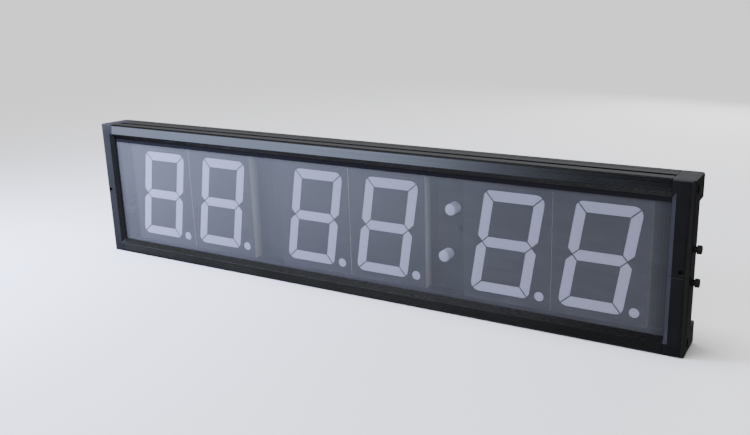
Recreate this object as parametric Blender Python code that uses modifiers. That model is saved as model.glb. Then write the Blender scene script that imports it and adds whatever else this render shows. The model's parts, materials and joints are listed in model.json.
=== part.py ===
"""Six-digit LED round timer for a gym wall: aluminium rails, plastic end caps, push-buttons.

World frame: +X is the viewer's right, the display faces -Y and +Z is up. The origin is the
centre of the case's base. All lengths are metres.

Sections are drawn in case coordinates: "deep" is the distance back from the front plane,
"inset" the distance in from the case's top or bottom face, and "end" the distance in from
its left or right end. mirror signs then put the same drawing at the other end or edge.
"""

import math

import bmesh
import bpy
from mathutils import Matrix, Vector

# Case
CASE_WIDTH = 0.710
CASE_HEIGHT = 0.160
CASE_DEPTH = 0.040
GAP = 0.0003  # clearance between pieces that touch
TINY = 0.001  # how far a cutter runs past the face it cuts
RIM = 0.0193  # border hidden by the frame, on all four sides

# Rails
RAIL_HEIGHT = 0.022
FACE_HEIGHT = 0.0115  # front face of a rail, before the bevel
FACE_LEAN = 0.0007  # how far the front face leans back at its outer edge
EDGE_ROUND = 0.0025
LIP_INSET = 0.0168
LIP_DEEP = 0.0040
LENS_GROOVE = (0.0047, 0.0079)
GROOVE_TOP = 0.0120
FLOOR_INSET = 0.0187
BOARD_GROOVE = (0.0209, 0.0231)
BOARD_GROOVE_TOP = 0.0165
SLOT_DEEP = 0.0160
SLOT_MOUTH = 0.0052
SLOT_WIDTH = 0.0092
SLOT_LIP = 0.0018
SLOT_HEIGHT = 0.0046
SCREW_CHANNEL = (0.0126, 0.0124)  # deep, inset
SCREW_CHANNEL_RADIUS = 0.0019
REBATE_INSET = 0.012
REBATE_DEEP = 0.0364
RAIL_WALL = 0.0016
VEE_DEEP = 0.0305  # the fine groove along the outer face, behind the slot
VEE_HALF = 0.0006
REAR_ROUND = 0.001
CHAMBER_INSET = 0.0022
FRONT_CHAMBER = (0.0108, 0.0102)  # its far corner: deep, inset
MIDDLE_CHAMBER = (0.0162, 0.0192)  # from deep, to deep
REAR_CHAMBER_DEEP = 0.0247

# End caps
CAP_WALL = 0.0025
CAP_BEVEL = 0.0040  # width of the bevel from the cap's front to the lens
CORNER_ROUND = 0.006
SEAM_HEIGHT = 0.074  # the upper and lower cap halves meet here
RECESS_DEEP = 0.0238  # the side steps in behind this depth
RECESS = 0.006
CAP_BACK_DEEP = 0.0379
BEVEL_HOLLOW = 0.0130  # how far the cavity behind the bevel reaches in from the end
STEP_HOLLOW_DEEP = 0.0354  # the cavity behind the recessed side ends here
LUG_HOLLOW_DEEP = 0.0375
POCKET_SIZE = (0.0074, 0.0110)
POCKET_DEPTH = 0.0032
POCKET_SHIFT = 0.0022  # the pocket's middle lies this much nearer the edge than its screw
PAD_THICK = 0.0022
PAD_MARGIN = 0.0025
PAD_END = (0.0180, 0.0182)  # deep, inset
BOSS_RADIUS = 0.0036
CAP_SCREW_HOLE = 0.0019
LATCH_END = 0.0070
LATCH_SIZE = (0.0050, 0.0040)
LATCH_HEIGHT = 0.079
TONGUE_HALF = 0.0035
TONGUE_THICK = 0.0016
TONGUE_ROOT = 0.006

# Front lens
LENS_THICK = 0.0026
LENS_OVERLAP = 0.0026

# Digit modules
PAIR_LEFT = (0.0422, 0.2656, 0.4913)  # left edge of each pair, from the case's left end
MODULE_WIDTH = 0.0911
MODULE_HEIGHT = 0.1195
MODULE_BOTTOM = 0.0191
MODULE_DEPTH = 0.0120
MODULE_DEEP = 0.0085
MODULE_SPACE = 0.0915
HOUSING_WALL = 0.0016
DIGIT_WIDTH = 0.0620
DIGIT_HEIGHT = 0.1030
SEGMENT = 0.0104
SEGMENT_SPLIT = 0.0011
DIGIT_CORNER = 0.0070
SLANT = 0.157
POINT_OFFSET = 0.0111
POINT_HEIGHT = 0.0045
POINT_RADIUS = 0.0047
DIFFUSER_CLEARANCE = 0.00025
DIFFUSER_BASE = 0.0012

# Boards
BOARD_THICK = 0.0016
BOARD_SPLITS = (0.0222, 0.2451, 0.4560, 0.6880)
LED_SIZE = (0.0032, 0.0028, 0.0019)
CONTROLLER_SIZE = (0.118, 0.074)
CONTROLLER_DEEP = 0.0318
CONTROLLER_X = 0.015
LEAD_DEEP = 0.0275

# Colon and remote-control receiver, from the case's left end
COLON_END = 0.4726
COLON_MIDDLE = 0.0813
COLON_SPREAD = 0.0244
COLON_RADIUS = 0.0058
RECEIVER_END = 0.4807
RECEIVER_HEIGHT = 0.0853
RECEIVER_HALF = 0.0025
RECEIVER_THICK = 0.0045
EYE_RADIUS = 0.0019
EYE_STAND = 0.0062

# Push-buttons on the right end
BUTTON_DEEP = 0.0145
BUTTON_HEIGHTS = {"upper": 0.0973, "lower": 0.0671}
BUTTON_RADIUS = 0.0040
BUTTON_LENGTH = 0.0040
BUTTON_NECK = 0.0027
BUTTON_STAND = 0.0024  # neck visible between the side and the button's head
BUTTON_HOLE = 0.0031
BUTTON_STEM = 0.0017
SWITCH_FACE = 0.0098  # the switch bodies' outer face, in from the end
SWITCH_DEPTH = 0.0042
PEG_RADIUS = 0.0024

# Rear cover
COVER_THICK = 0.0012
COVER_DEEP = 0.0367
COVER_SCREW_X = 0.230
COVER_SCREW_INSET = 0.0170
COVER_SCREW_HOLE = 0.0017
COVER_PILOT = (0.0016, 0.003)  # radius and depth of the rails' holes for the cover screws
KEYHOLE_X = 0.255
KEYHOLE_HEIGHT = 0.100
KEYHOLE_RADIUS = 0.0046
KEYHOLE_SLOT = 0.0024
KEYHOLE_RISE = 0.0100
STUD_RADIUS = 0.0026
STUD_REACH = 0.006  # from the controller board's corners to its studs
SOUND_HOLES = (0.078, 0.0055, 0.0012)  # right of the board's middle, ring radius, hole radius

# Power inlet on the left end's recessed side
INLET_DEEP = 0.0294
INLET_HEIGHT = 0.048
INLET_RADIUS = 0.0041
INLET_BORE = 0.0031
INLET_FLANGE = 0.0055
INLET_LENGTH = 0.0125
INLET_LIP = 0.0014
INLET_BORE_DEPTH = 0.0095
INLET_PIN = 0.0010
NUT_THICK = 0.0020

# Screws: head radius, head height, shank radius, length
CAP_SCREW = (0.0030, 0.0017, 0.0015, 0.0280)
COVER_SCREW = (0.0026, 0.0014, 0.0013, 0.0065)
BOARD_SCREW = (0.0019, 0.0010, 0.0010, 0.0060)

SEAMLESS = 0.00001  # merge distance where a turned profile meets its axis
LEFT, RIGHT = -1, 1
LOWER, UPPER = -1, 1

FACING_FRONT = Matrix(((1, 0, 0), (0, 0, -1), (0, 1, 0)))  # drawn x, y to world X, Z
FACING_RIGHT = Matrix(((0, 0, 1), (1, 0, 0), (0, 1, 0)))  # drawn x, y to world Y, Z


# ---------------------------------------------------------------- scene and helpers


def clear_scene():
    for obj in list(bpy.data.objects):
        bpy.data.objects.remove(obj, do_unlink=True)
    parts = bpy.data.collections.new("gym_round_timer")
    cutters = bpy.data.collections.new("cutters")
    bpy.context.scene.collection.children.link(parts)
    bpy.context.scene.collection.children.link(cutters)
    return parts, cutters


PARTS, CUTTERS = clear_scene()


def material(name, colour, roughness, metallic=0.0, alpha=1.0):
    made = bpy.data.materials.new(name)
    made.use_nodes = True
    shader = made.node_tree.nodes["Principled BSDF"]
    shader.inputs["Base Color"].default_value = (*colour, 1.0)
    shader.inputs["Roughness"].default_value = roughness
    shader.inputs["Metallic"].default_value = metallic
    shader.inputs["Alpha"].default_value = alpha
    return made


ANODISED = material("black_anodised_aluminium", (0.045, 0.047, 0.052), 0.34, 0.9)
CAP_PLASTIC = material("black_cap_plastic", (0.035, 0.036, 0.038), 0.5)
SMOKED = material("smoked_acrylic", (0.03, 0.03, 0.035), 0.06, alpha=0.35)
HOUSING_PLASTIC = material("digit_housing_plastic", (0.30, 0.31, 0.34), 0.6)
DIFFUSER = material("segment_diffuser", (0.80, 0.80, 0.88), 0.45)
CIRCUIT = material("black_circuit_board", (0.02, 0.03, 0.025), 0.45)
SHEET = material("black_sheet_metal", (0.04, 0.04, 0.042), 0.5, 0.6)
BUTTON_PLASTIC = material("button_plastic", (0.025, 0.025, 0.027), 0.3)
STEEL = material("zinc_steel", (0.55, 0.55, 0.56), 0.35, 1.0)
CHIP_PLASTIC = material("chip_epoxy", (0.03, 0.03, 0.03), 0.55)


def deep(distance):
    return distance - CASE_DEPTH / 2


def from_end(side, distance):
    return side * (CASE_WIDTH / 2 - distance)


def from_left(distance):
    return distance - CASE_WIDTH / 2


def from_edge(level, inset):
    return CASE_HEIGHT - inset if level == UPPER else inset


def finish(obj, look):
    """Make an object a named piece of the timer."""
    obj.data.materials.clear()
    obj.data.materials.append(look)
    PARTS.objects.link(obj)
    return obj


def from_bmesh(name, bm, location=(0, 0, 0)):
    bmesh.ops.recalc_face_normals(bm, faces=bm.faces)
    mesh = bpy.data.meshes.new(name)
    bm.to_mesh(mesh)
    bm.free()
    obj = bpy.data.objects.new(name, mesh)
    obj.location = location
    return obj


def box(name, corner, opposite):
    """A box between any two opposite corners."""
    low = Vector(map(min, corner, opposite))
    high = Vector(map(max, corner, opposite))
    bm = bmesh.new()
    bmesh.ops.create_cube(bm, size=1.0)
    bmesh.ops.scale(bm, vec=high - low, verts=bm.verts)
    return from_bmesh(name, bm, (low + high) / 2)


def rod(name, radius, start, end, sides=20):
    """A round bar from start to end."""
    start, end = Vector(start), Vector(end)
    bm = bmesh.new()
    bmesh.ops.create_cone(
        bm,
        cap_ends=True,
        segments=sides,
        radius1=radius,
        radius2=radius,
        depth=(end - start).length,
    )
    obj = from_bmesh(name, bm, (start + end) / 2)
    obj.rotation_mode = "QUATERNION"
    obj.rotation_quaternion = (end - start).to_track_quat("Z", "Y")
    return obj


def arc(centre, radius, start, end, steps=5):
    """Points on a circle's arc, with the angles in degrees."""
    angles = (math.radians(start + (end - start) * i / steps) for i in range(steps + 1))
    return [(centre[0] + radius * math.cos(a), centre[1] + radius * math.sin(a)) for a in angles]


def circle(centre, radius, sides=20):
    return arc(centre, radius, 0, 360, sides)[:-1]


def rectangle(low, high):
    return [low, (high[0], low[1]), high, (low[0], high[1])]


def drawing(name, outlines, thickness, facing=FACING_FRONT, location=(0, 0, 0)):
    """A flat drawing, its holes after its outline, extruded both ways from its plane."""
    curve = bpy.data.curves.new(name, "CURVE")
    curve.dimensions = "2D"
    curve.fill_mode = "BOTH"
    curve.extrude = thickness / 2
    for outline in outlines:
        spline = curve.splines.new("POLY")
        spline.points.add(len(outline) - 1)
        spline.use_cyclic_u = True
        for point, (across, up) in zip(spline.points, outline):
            point.co = (across, up, 0.0, 1.0)
    holder = bpy.data.objects.new(name, curve)
    CUTTERS.objects.link(holder)
    graph = bpy.context.evaluated_depsgraph_get()
    bm = bmesh.new()
    bm.from_mesh(bpy.data.meshes.new_from_object(holder.evaluated_get(graph)))
    bpy.data.objects.remove(holder)
    bmesh.ops.remove_doubles(bm, verts=bm.verts, dist=SEAMLESS / 10)
    obj = from_bmesh(name, bm, location)
    obj.rotation_euler = facing.to_euler()
    return obj


def turned(name, profile, location, sides=24):
    """A solid turned about X: (radius, place along X) points run from +X down the outer side."""
    mesh = bpy.data.meshes.new(name)
    mesh.from_pydata(
        [(radius, 0.0, along) for radius, along in profile],
        [(i, i + 1) for i in range(len(profile) - 1)],
        [],
    )
    obj = bpy.data.objects.new(name, mesh)
    obj.location = location
    obj.rotation_euler = (0.0, math.radians(90), 0.0)
    screw = obj.modifiers.new("turned", "SCREW")
    screw.axis = "Z"
    screw.steps = sides
    screw.render_steps = sides
    screw.use_merge_vertices = True
    screw.merge_threshold = SEAMLESS
    return obj


def combine(obj, others, operation):
    """Boolean obj with each helper, which moves to the cutters."""
    for other in others:
        other.hide_render = True
        other.display_type = "WIRE"
        CUTTERS.objects.link(other)
        change = obj.modifiers.new(other.name, "BOOLEAN")
        change.operation = operation
        change.solver = "EXACT"
        change.object = other
    return obj


def cut(obj, others):
    return combine(obj, others, "DIFFERENCE")


def join(obj, others):
    return combine(obj, others, "UNION")


def mesh_of(obj):
    """The object's mesh as placed, with its modifiers applied, for pieces that share it."""
    CUTTERS.objects.link(obj)
    bpy.context.view_layer.update()
    graph = bpy.context.evaluated_depsgraph_get()
    mesh = bpy.data.meshes.new_from_object(obj.evaluated_get(graph))
    mesh.transform(obj.matrix_world)
    helpers = [change.object for change in obj.modifiers if change.type == "BOOLEAN"]
    for helper in (obj, *helpers):
        bpy.data.objects.remove(helper)
    return mesh


def copy_of(name, mesh, look, location):
    obj = bpy.data.objects.new(name, mesh)
    obj.location = location
    if not mesh.materials:
        mesh.materials.append(look)
    PARTS.objects.link(obj)
    return obj


# ---------------------------------------------------------------- rails


def rail_section():
    """A rail's (deep, inset) outline and the hollow chambers inside it."""
    mouth = (SLOT_DEEP - SLOT_MOUTH / 2, SLOT_DEEP + SLOT_MOUTH / 2)
    slot = (SLOT_DEEP - SLOT_WIDTH / 2, SLOT_DEEP + SLOT_WIDTH / 2)
    slot_floor = SLOT_LIP + SLOT_HEIGHT
    outline = [(0.0, FACE_HEIGHT)]
    outline += arc((FACE_LEAN + EDGE_ROUND, EDGE_ROUND), EDGE_ROUND, 180, 270)
    outline += [(mouth[0], 0.0), (mouth[0], SLOT_LIP), (slot[0], SLOT_LIP)]
    outline += [(slot[0], slot_floor), (slot[1], slot_floor), (slot[1], SLOT_LIP)]
    outline += [(mouth[1], SLOT_LIP), (mouth[1], 0.0)]
    outline += [(VEE_DEEP - VEE_HALF, 0.0), (VEE_DEEP, VEE_HALF), (VEE_DEEP + VEE_HALF, 0.0)]
    outline += arc((CASE_DEPTH - REAR_ROUND, REAR_ROUND), REAR_ROUND, 270, 360, 2)
    outline += [(CASE_DEPTH, REBATE_INSET), (REBATE_DEEP, REBATE_INSET)]
    outline += [(REBATE_DEEP, RAIL_HEIGHT), (BOARD_GROOVE[1], RAIL_HEIGHT)]
    outline += [(BOARD_GROOVE[1], BOARD_GROOVE_TOP), (BOARD_GROOVE[0], BOARD_GROOVE_TOP)]
    outline += [(BOARD_GROOVE[0], FLOOR_INSET), (LENS_GROOVE[1], FLOOR_INSET)]
    outline += [(LENS_GROOVE[1], GROOVE_TOP), (LENS_GROOVE[0], GROOVE_TOP)]
    outline += [(LENS_GROOVE[0], LIP_INSET), (LIP_DEEP, LIP_INSET)]
    front = rectangle((CHAMBER_INSET, CHAMBER_INSET), FRONT_CHAMBER)
    middle = rectangle(
        (MIDDLE_CHAMBER[0], slot_floor + RAIL_WALL), (MIDDLE_CHAMBER[1], LIP_INSET)
    )
    rear = rectangle(
        (REAR_CHAMBER_DEEP, CHAMBER_INSET), (REBATE_DEEP - RAIL_WALL, RAIL_HEIGHT - RAIL_WALL)
    )
    return [outline, circle(SCREW_CHANNEL, SCREW_CHANNEL_RADIUS, 12), front, middle, rear]


def add_rail(name, level):
    outlines = [
        [(deep(back), from_edge(level, inset)) for back, inset in outline]
        for outline in rail_section()
    ]
    rail = drawing(name, outlines, CASE_WIDTH - 2 * (RIM + GAP), FACING_RIGHT)
    height = from_edge(level, COVER_SCREW_INSET)
    radius, depth = COVER_PILOT
    holes = [
        rod(
            f"{name}_hole",
            radius,
            (side * COVER_SCREW_X, deep(REBATE_DEEP - depth), height),
            (side * COVER_SCREW_X, deep(REBATE_DEEP + TINY), height),
            12,
        )
        for side in (LEFT, RIGHT)
    ]
    return finish(cut(rail, holes), ANODISED)


# ---------------------------------------------------------------- end caps


def end_box(name, side, level, ends, deeps, insets):
    """A box given by its ranges in from the end, back from the front and in from the edge."""
    corners = [
        (from_end(side, ends[i]), deep(deeps[i]), from_edge(level, insets[i])) for i in (0, 1)
    ]
    return box(name, *corners)


def cap_body(name, side, level, length):
    """Three crossed extrusions, whose common volume has every outer edge rounded."""
    beside = arc((FACE_LEAN + EDGE_ROUND, EDGE_ROUND), EDGE_ROUND, 180, 270)
    beside += [(CASE_DEPTH - REAR_ROUND, 0.0), (CASE_DEPTH, REAR_ROUND), (CASE_DEPTH, RAIL_HEIGHT)]
    beside += [(CAP_BACK_DEEP, RAIL_HEIGHT), (CAP_BACK_DEEP, length), (0.0, length)]
    beside += [(0.0, FACE_HEIGHT - GAP)]
    inner, far = RIM + TINY, CASE_DEPTH + TINY
    above = [(inner, -TINY), (CORNER_ROUND, -TINY)]
    above += arc((CORNER_ROUND, CORNER_ROUND), CORNER_ROUND, 270, 180, 6)
    above += [(-TINY, CORNER_ROUND), (-TINY, CASE_DEPTH - REAR_ROUND)]
    above += [(0.0, CASE_DEPTH - REAR_ROUND), (REAR_ROUND, CASE_DEPTH), (REAR_ROUND, far), (inner, far)]
    ahead = [(inner, -TINY), (EDGE_ROUND, -TINY)]
    ahead += arc((EDGE_ROUND, EDGE_ROUND), EDGE_ROUND, 270, 180, 4)
    ahead += [(-TINY, EDGE_ROUND), (-TINY, length + TINY), (inner, length + TINY)]
    body = drawing(
        name,
        [[(deep(back), from_edge(level, inset)) for back, inset in beside]],
        RIM,
        FACING_RIGHT,
        (from_end(side, RIM / 2), 0.0, 0.0),
    )
    plan = drawing(
        f"{name}_plan",
        [[(from_end(side, end), deep(back)) for end, back in above]],
        3 * CASE_HEIGHT,
        Matrix.Identity(3),
    )
    front = drawing(
        f"{name}_front",
        [[(from_end(side, end), from_edge(level, inset)) for end, inset in ahead]],
        3 * CASE_DEPTH,
    )
    return combine(body, [plan, front], "INTERSECT")


def window_cutter(name):
    """The frame's opening: bevelled from the front plane down to the lens lip, then straight."""
    depth = LIP_DEEP + TINY
    half_width = CASE_WIDTH / 2 - RIM
    half_height = CASE_HEIGHT / 2 - LIP_INSET
    flare_x = CAP_BEVEL * depth / LIP_DEEP
    flare_z = (LIP_INSET - FACE_HEIGHT) * depth / LIP_DEEP
    bm = bmesh.new()
    bmesh.ops.create_cube(bm, size=2.0)
    bmesh.ops.scale(bm, vec=(half_width, depth / 2, half_height), verts=bm.verts)
    for vert in bm.verts:
        if vert.co.y < 0:
            vert.co.x += math.copysign(flare_x, vert.co.x)
            vert.co.z += math.copysign(flare_z, vert.co.z)
    return from_bmesh(name, bm, (0.0, deep((LIP_DEEP - TINY) / 2), CASE_HEIGHT / 2))


def cap_hollows(name, side, level, length):
    """The cavities that leave the cap with thin walls, all open towards the rails."""
    inner = RIM + TINY
    step_wall = RECESS_DEEP - CAP_WALL
    recessed = RECESS + CAP_WALL
    lug_wall = RAIL_HEIGHT - CAP_WALL
    spans = (
        ((CAP_WALL, inner), (LENS_GROOVE[0], step_wall), (CAP_WALL, length + TINY)),
        ((CAP_WALL, BEVEL_HOLLOW), (CAP_WALL, LENS_GROOVE[0] + TINY), (CAP_WALL, length + TINY)),
        ((recessed, inner), (step_wall - TINY, STEP_HOLLOW_DEEP), (CAP_WALL, length + TINY)),
        ((CAP_WALL, inner), (step_wall - TINY, LUG_HOLLOW_DEEP), (CAP_WALL, lug_wall)),
    )
    return [
        end_box(f"{name}_hollow_{i}", side, level, *span) for i, span in enumerate(spans)
    ]


def pocket_outline(level):
    """A slot with round ends, tall along Z, about the cap screw."""
    half = POCKET_SIZE[0] / 2
    straight = POCKET_SIZE[1] / 2 - half
    back, inset = SCREW_CHANNEL
    middle = (deep(back), from_edge(level, inset - POCKET_SHIFT))
    top = arc((middle[0], middle[1] + straight), half, 0, 180, 6)
    bottom = arc((middle[0], middle[1] - straight), half, 180, 360, 6)
    return top + bottom


def add_cap(side, level):
    name = f"{'left' if side == LEFT else 'right'}_{'upper' if level == UPPER else 'lower'}_cap"
    seam = SEAM_HEIGHT + (GAP / 2 if level == UPPER else -GAP / 2)
    length = CASE_HEIGHT - seam if level == UPPER else seam
    back, inset = SCREW_CHANNEL
    centre = (deep(back), from_edge(level, inset))
    cap = cap_body(name, side, level, length)
    recess = end_box(
        f"{name}_recess",
        side,
        level,
        (-TINY, RECESS),
        (RECESS_DEEP, CASE_DEPTH + TINY),
        (RAIL_HEIGHT, length + TINY),
    )
    cut(cap, [recess, window_cutter(f"{name}_window"), *cap_hollows(name, side, level, length)])
    pad = end_box(
        f"{name}_pad",
        side,
        level,
        (CAP_WALL - TINY, POCKET_DEPTH + PAD_THICK),
        (LENS_GROOVE[0] + PAD_MARGIN, PAD_END[0]),
        (CAP_WALL - TINY, PAD_END[1]),
    )
    boss = rod(
        f"{name}_boss",
        BOSS_RADIUS,
        (from_end(side, POCKET_DEPTH + TINY), *centre),
        (from_end(side, RIM), *centre),
    )
    join(cap, [pad, boss])
    pocket = drawing(
        f"{name}_pocket",
        [pocket_outline(level)],
        2 * POCKET_DEPTH,
        FACING_RIGHT,
        (from_end(side, 0.0), 0.0, 0.0),
    )
    hole = rod(
        f"{name}_screw_hole",
        CAP_SCREW_HOLE,
        (from_end(side, 0.0), *centre),
        (from_end(side, RIM + TINY), *centre),
        12,
    )
    cut(cap, [pocket, hole])
    if level == UPPER:
        add_latch_window(cap, name, side)
    else:
        add_latch_tongue(cap, name, side)
    if side == RIGHT:
        add_button_hole(cap, name, level)
        if level == UPPER:
            add_button_peg(cap, name)
    elif level == LOWER:
        inlet = (deep(INLET_DEEP), INLET_HEIGHT)
        cut(
            cap,
            [
                rod(
                    f"{name}_inlet_hole",
                    INLET_RADIUS + GAP,
                    (from_end(side, RECESS - TINY), *inlet),
                    (from_end(side, RECESS + CAP_WALL + TINY), *inlet),
                )
            ],
        )
    return finish(cap, CAP_PLASTIC)


def add_latch_window(cap, name, side):
    """The opening in the upper half's front that the lower half's tongue snaps behind."""
    half = [size / 2 for size in LATCH_SIZE]
    window = box(
        f"{name}_latch_window",
        (from_end(side, LATCH_END - half[0]), deep(-TINY), LATCH_HEIGHT - half[1]),
        (from_end(side, LATCH_END + half[0]), deep(CAP_WALL + TINY), LATCH_HEIGHT + half[1]),
    )
    cut(cap, [window])


def add_latch_tongue(cap, name, side):
    """A tongue that rises from the lower half behind the upper half's front wall."""
    near, far = (from_end(side, LATCH_END + way * TONGUE_HALF) for way in (-1, 1))
    behind = CAP_WALL + GAP
    foot = SEAM_HEIGHT - TONGUE_ROOT
    top = LATCH_HEIGHT + TONGUE_ROOT / 2
    tongue = box(
        f"{name}_tongue", (near, deep(behind), foot), (far, deep(behind + TONGUE_THICK), top)
    )
    root = box(
        f"{name}_tongue_root",
        (near, deep(CAP_WALL - TINY), foot),
        (far, deep(behind + TINY), foot + TONGUE_ROOT * 2 / 3),
    )
    join(cap, [tongue, root])


def add_button_hole(cap, name, level):
    height = BUTTON_HEIGHTS["upper" if level == UPPER else "lower"]
    place = (deep(BUTTON_DEEP), height)
    hole = rod(
        f"{name}_button_hole",
        BUTTON_HOLE,
        (from_end(RIGHT, -TINY), *place),
        (from_end(RIGHT, CAP_WALL + TINY), *place),
    )
    cut(cap, [hole])


# ---------------------------------------------------------------- lens and digits


def add_lens():
    """The smoked front window, held in the rails' grooves and behind the caps' lips."""
    across = CASE_WIDTH / 2 - RIM + LENS_OVERLAP
    margin = GROOVE_TOP + GAP
    front = LENS_GROOVE[0] + GAP
    lens = box(
        "front_lens",
        (-across, deep(front), margin),
        (across, deep(front + LENS_THICK), CASE_HEIGHT - margin),
    )
    finish(lens, SMOKED)


def digit_left():
    """A digit's lower left corner, from its module's lower left corner."""
    lean = SLANT * DIGIT_HEIGHT
    return (MODULE_WIDTH - DIGIT_WIDTH - lean) / 2, (MODULE_HEIGHT - DIGIT_HEIGHT) / 2


def segment_outlines(shrink=0.0):
    """The seven segments upright, rounded at the digit's corners, each edge in by shrink."""
    width, height, thick, corner = DIGIT_WIDTH, DIGIT_HEIGHT, SEGMENT, DIGIT_CORNER
    middle = height / 2
    split = SEGMENT_SPLIT / math.sqrt(2)
    lean = math.degrees(SEGMENT_SPLIT / 2 / corner)
    top = arc((corner, height - corner), corner, 135 - lean, 90, 2)
    top += arc((width - corner, height - corner), corner, 90, 45 + lean, 2)
    top += [(width - thick - split, height - thick), (thick + split, height - thick)]
    left = arc((corner, height - corner), corner, 135 + lean, 180, 2)
    left += [(0.0, middle + thick / 2 + split), (thick / 2, middle + split)]
    left += [(thick, middle + thick / 2 + split), (thick, height - thick - split)]
    bar = [(thick / 2 + split, middle), (thick + split, middle + thick / 2)]
    bar += [(width - thick - split, middle + thick / 2), (width - thick / 2 - split, middle)]
    bar += [(width - thick - split, middle - thick / 2), (thick + split, middle - thick / 2)]
    flipped = [[(x, height - y) for x, y in outline] for outline in (top, left)]
    right = [[(width - x, y) for x, y in outline] for outline in (left, flipped[1])]
    return [inward(outline, shrink) for outline in (top, left, *flipped, *right, bar)]


def inward(outline, distance):
    """A convex outline with every edge moved in by distance."""
    points = [Vector(point) for point in outline]
    centre = sum(points, Vector((0.0, 0.0))) / len(points)
    moved = []
    for i, point in enumerate(points):
        edges = (point - points[i - 1], points[(i + 1) % len(points)] - point)
        normals = [Vector((-edge.y, edge.x)).normalized() for edge in edges]
        normals = [n if n.dot(centre - point) > 0 else -n for n in normals]
        bisector = (normals[0] + normals[1]).normalized()
        moved.append(tuple(point + bisector * (distance / bisector.dot(normals[0]))))
    return moved


def digit_outlines(shrink=0.0):
    """Seven leaning segments and the decimal point, from the module's lower left corner."""
    left, bottom = digit_left()
    leaning = [
        [(left + x + SLANT * y, bottom + y) for x, y in outline]
        for outline in segment_outlines(shrink)
    ]
    point = (left + DIGIT_WIDTH + POINT_OFFSET, bottom + POINT_HEIGHT)
    return leaning + [circle(point, POINT_RADIUS - shrink, 24)]


def housing_mesh():
    """A digit's reflector box: an open-backed tray with the segments cut through its face."""
    outer = rectangle((0.0, 0.0), (MODULE_WIDTH, MODULE_HEIGHT))
    wall = HOUSING_WALL
    inner = rectangle((wall, wall), (MODULE_WIDTH - wall, MODULE_HEIGHT - wall))
    face = drawing("housing_face", [outer, *digit_outlines()], wall, location=(0, wall / 2, 0))
    overlap = wall / 2
    sides = drawing(
        "housing_sides",
        [outer, inner],
        MODULE_DEPTH - overlap,
        location=(0, (MODULE_DEPTH + overlap) / 2, 0),
    )
    return mesh_of(join(face, [sides]))


def diffuser_mesh():
    """A translucent plate whose raised segments fill the housing's openings."""
    margin = HOUSING_WALL + GAP
    outline = rectangle((margin, margin), (MODULE_WIDTH - margin, MODULE_HEIGHT - margin))
    behind = HOUSING_WALL + GAP
    flush = 0.00015
    raised = behind - flush + DIFFUSER_BASE / 2
    plate = drawing(
        "diffuser_plate",
        [outline],
        DIFFUSER_BASE,
        location=(0, behind + DIFFUSER_BASE / 2, 0),
    )
    segments = [
        drawing("diffuser_segment", [shape], raised, location=(0, flush + raised / 2, 0))
        for shape in digit_outlines(DIFFUSER_CLEARANCE)
    ]
    return mesh_of(join(plate, segments))


def led_places():
    """One lamp behind the middle of each segment, and one behind the point."""
    places = []
    for outline in digit_outlines():
        count = len(outline)
        places.append((sum(p[0] for p in outline) / count, sum(p[1] for p in outline) / count))
    return places


def led_board_mesh():
    """The lamp board that closes a digit housing from behind."""
    margin = HOUSING_WALL + GAP
    front = MODULE_DEPTH - BOARD_THICK
    board = box(
        "led_plate",
        (margin, front, margin),
        (MODULE_WIDTH - margin, MODULE_DEPTH, MODULE_HEIGHT - margin),
    )
    lamps = []
    for x, z in led_places():
        low = (x - LED_SIZE[0] / 2, front - LED_SIZE[2], z - LED_SIZE[1] / 2)
        high = (x + LED_SIZE[0] / 2, front + BOARD_THICK / 2, z + LED_SIZE[1] / 2)
        lamps.append(box("led", low, high))
    return mesh_of(join(board, lamps))


def add_digits():
    housing = housing_mesh()
    diffuser = diffuser_mesh()
    lamps = led_board_mesh()
    lefts = [left + step for left in PAIR_LEFT for step in (0.0, MODULE_SPACE)]
    for number, left in enumerate(lefts, start=1):
        place = (from_left(left), deep(MODULE_DEEP), MODULE_BOTTOM)
        copy_of(f"digit_{number}_housing", housing, HOUSING_PLASTIC, place)
        copy_of(f"digit_{number}_diffuser", diffuser, DIFFUSER, place)
        copy_of(f"digit_{number}_led_board", lamps, CIRCUIT, place)


def add_colon():
    """Two light pipes that lean with the digits, and the remote-control receiver beside them."""
    front = MODULE_DEEP
    board = BOARD_GROOVE[0] + GAP
    for name, sign in (("upper", 1), ("lower", -1)):
        x = from_left(COLON_END + sign * SLANT * COLON_SPREAD)
        z = COLON_MIDDLE + sign * COLON_SPREAD
        start = (x, deep(front), z)
        end = (x, deep(board - GAP), z)
        finish(rod(f"colon_{name}_lamp", COLON_RADIUS, start, end, 28), DIFFUSER)
    half = RECEIVER_HALF
    x = from_left(RECEIVER_END)
    body = box(
        "remote_receiver",
        (x - half, deep(board - GAP - RECEIVER_THICK), RECEIVER_HEIGHT - half),
        (x + half, deep(board - GAP), RECEIVER_HEIGHT + half),
    )
    eye = rod(
        "receiver_eye",
        EYE_RADIUS,
        (x, deep(board - EYE_STAND), RECEIVER_HEIGHT),
        (x, deep(board - EYE_STAND / 2), RECEIVER_HEIGHT),
        16,
    )
    finish(join(body, [eye]), CHIP_PLASTIC)


# ---------------------------------------------------------------- boards


def add_display_boards():
    """Three boards side by side, each sliding in the rails' grooves behind one digit pair."""
    front = BOARD_GROOVE[0] + GAP
    margin = BOARD_GROOVE_TOP + GAP
    names = ("left", "centre", "right")
    for name, start, end in zip(names, BOARD_SPLITS, BOARD_SPLITS[1:]):
        board = box(
            f"{name}_display_board",
            (from_left(start), deep(front), margin),
            (from_left(end) - GAP, deep(front + BOARD_THICK), CASE_HEIGHT - margin),
        )
        finish(board, CIRCUIT)


def controller_part(name, x, z, width, height, thick, look):
    """A flat component on the front side of the controller board."""
    back = CONTROLLER_DEEP - GAP
    piece = box(
        name,
        (x - width / 2, deep(back - thick), z - height / 2),
        (x + width / 2, deep(back), z + height / 2),
    )
    return finish(piece, look)


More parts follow.
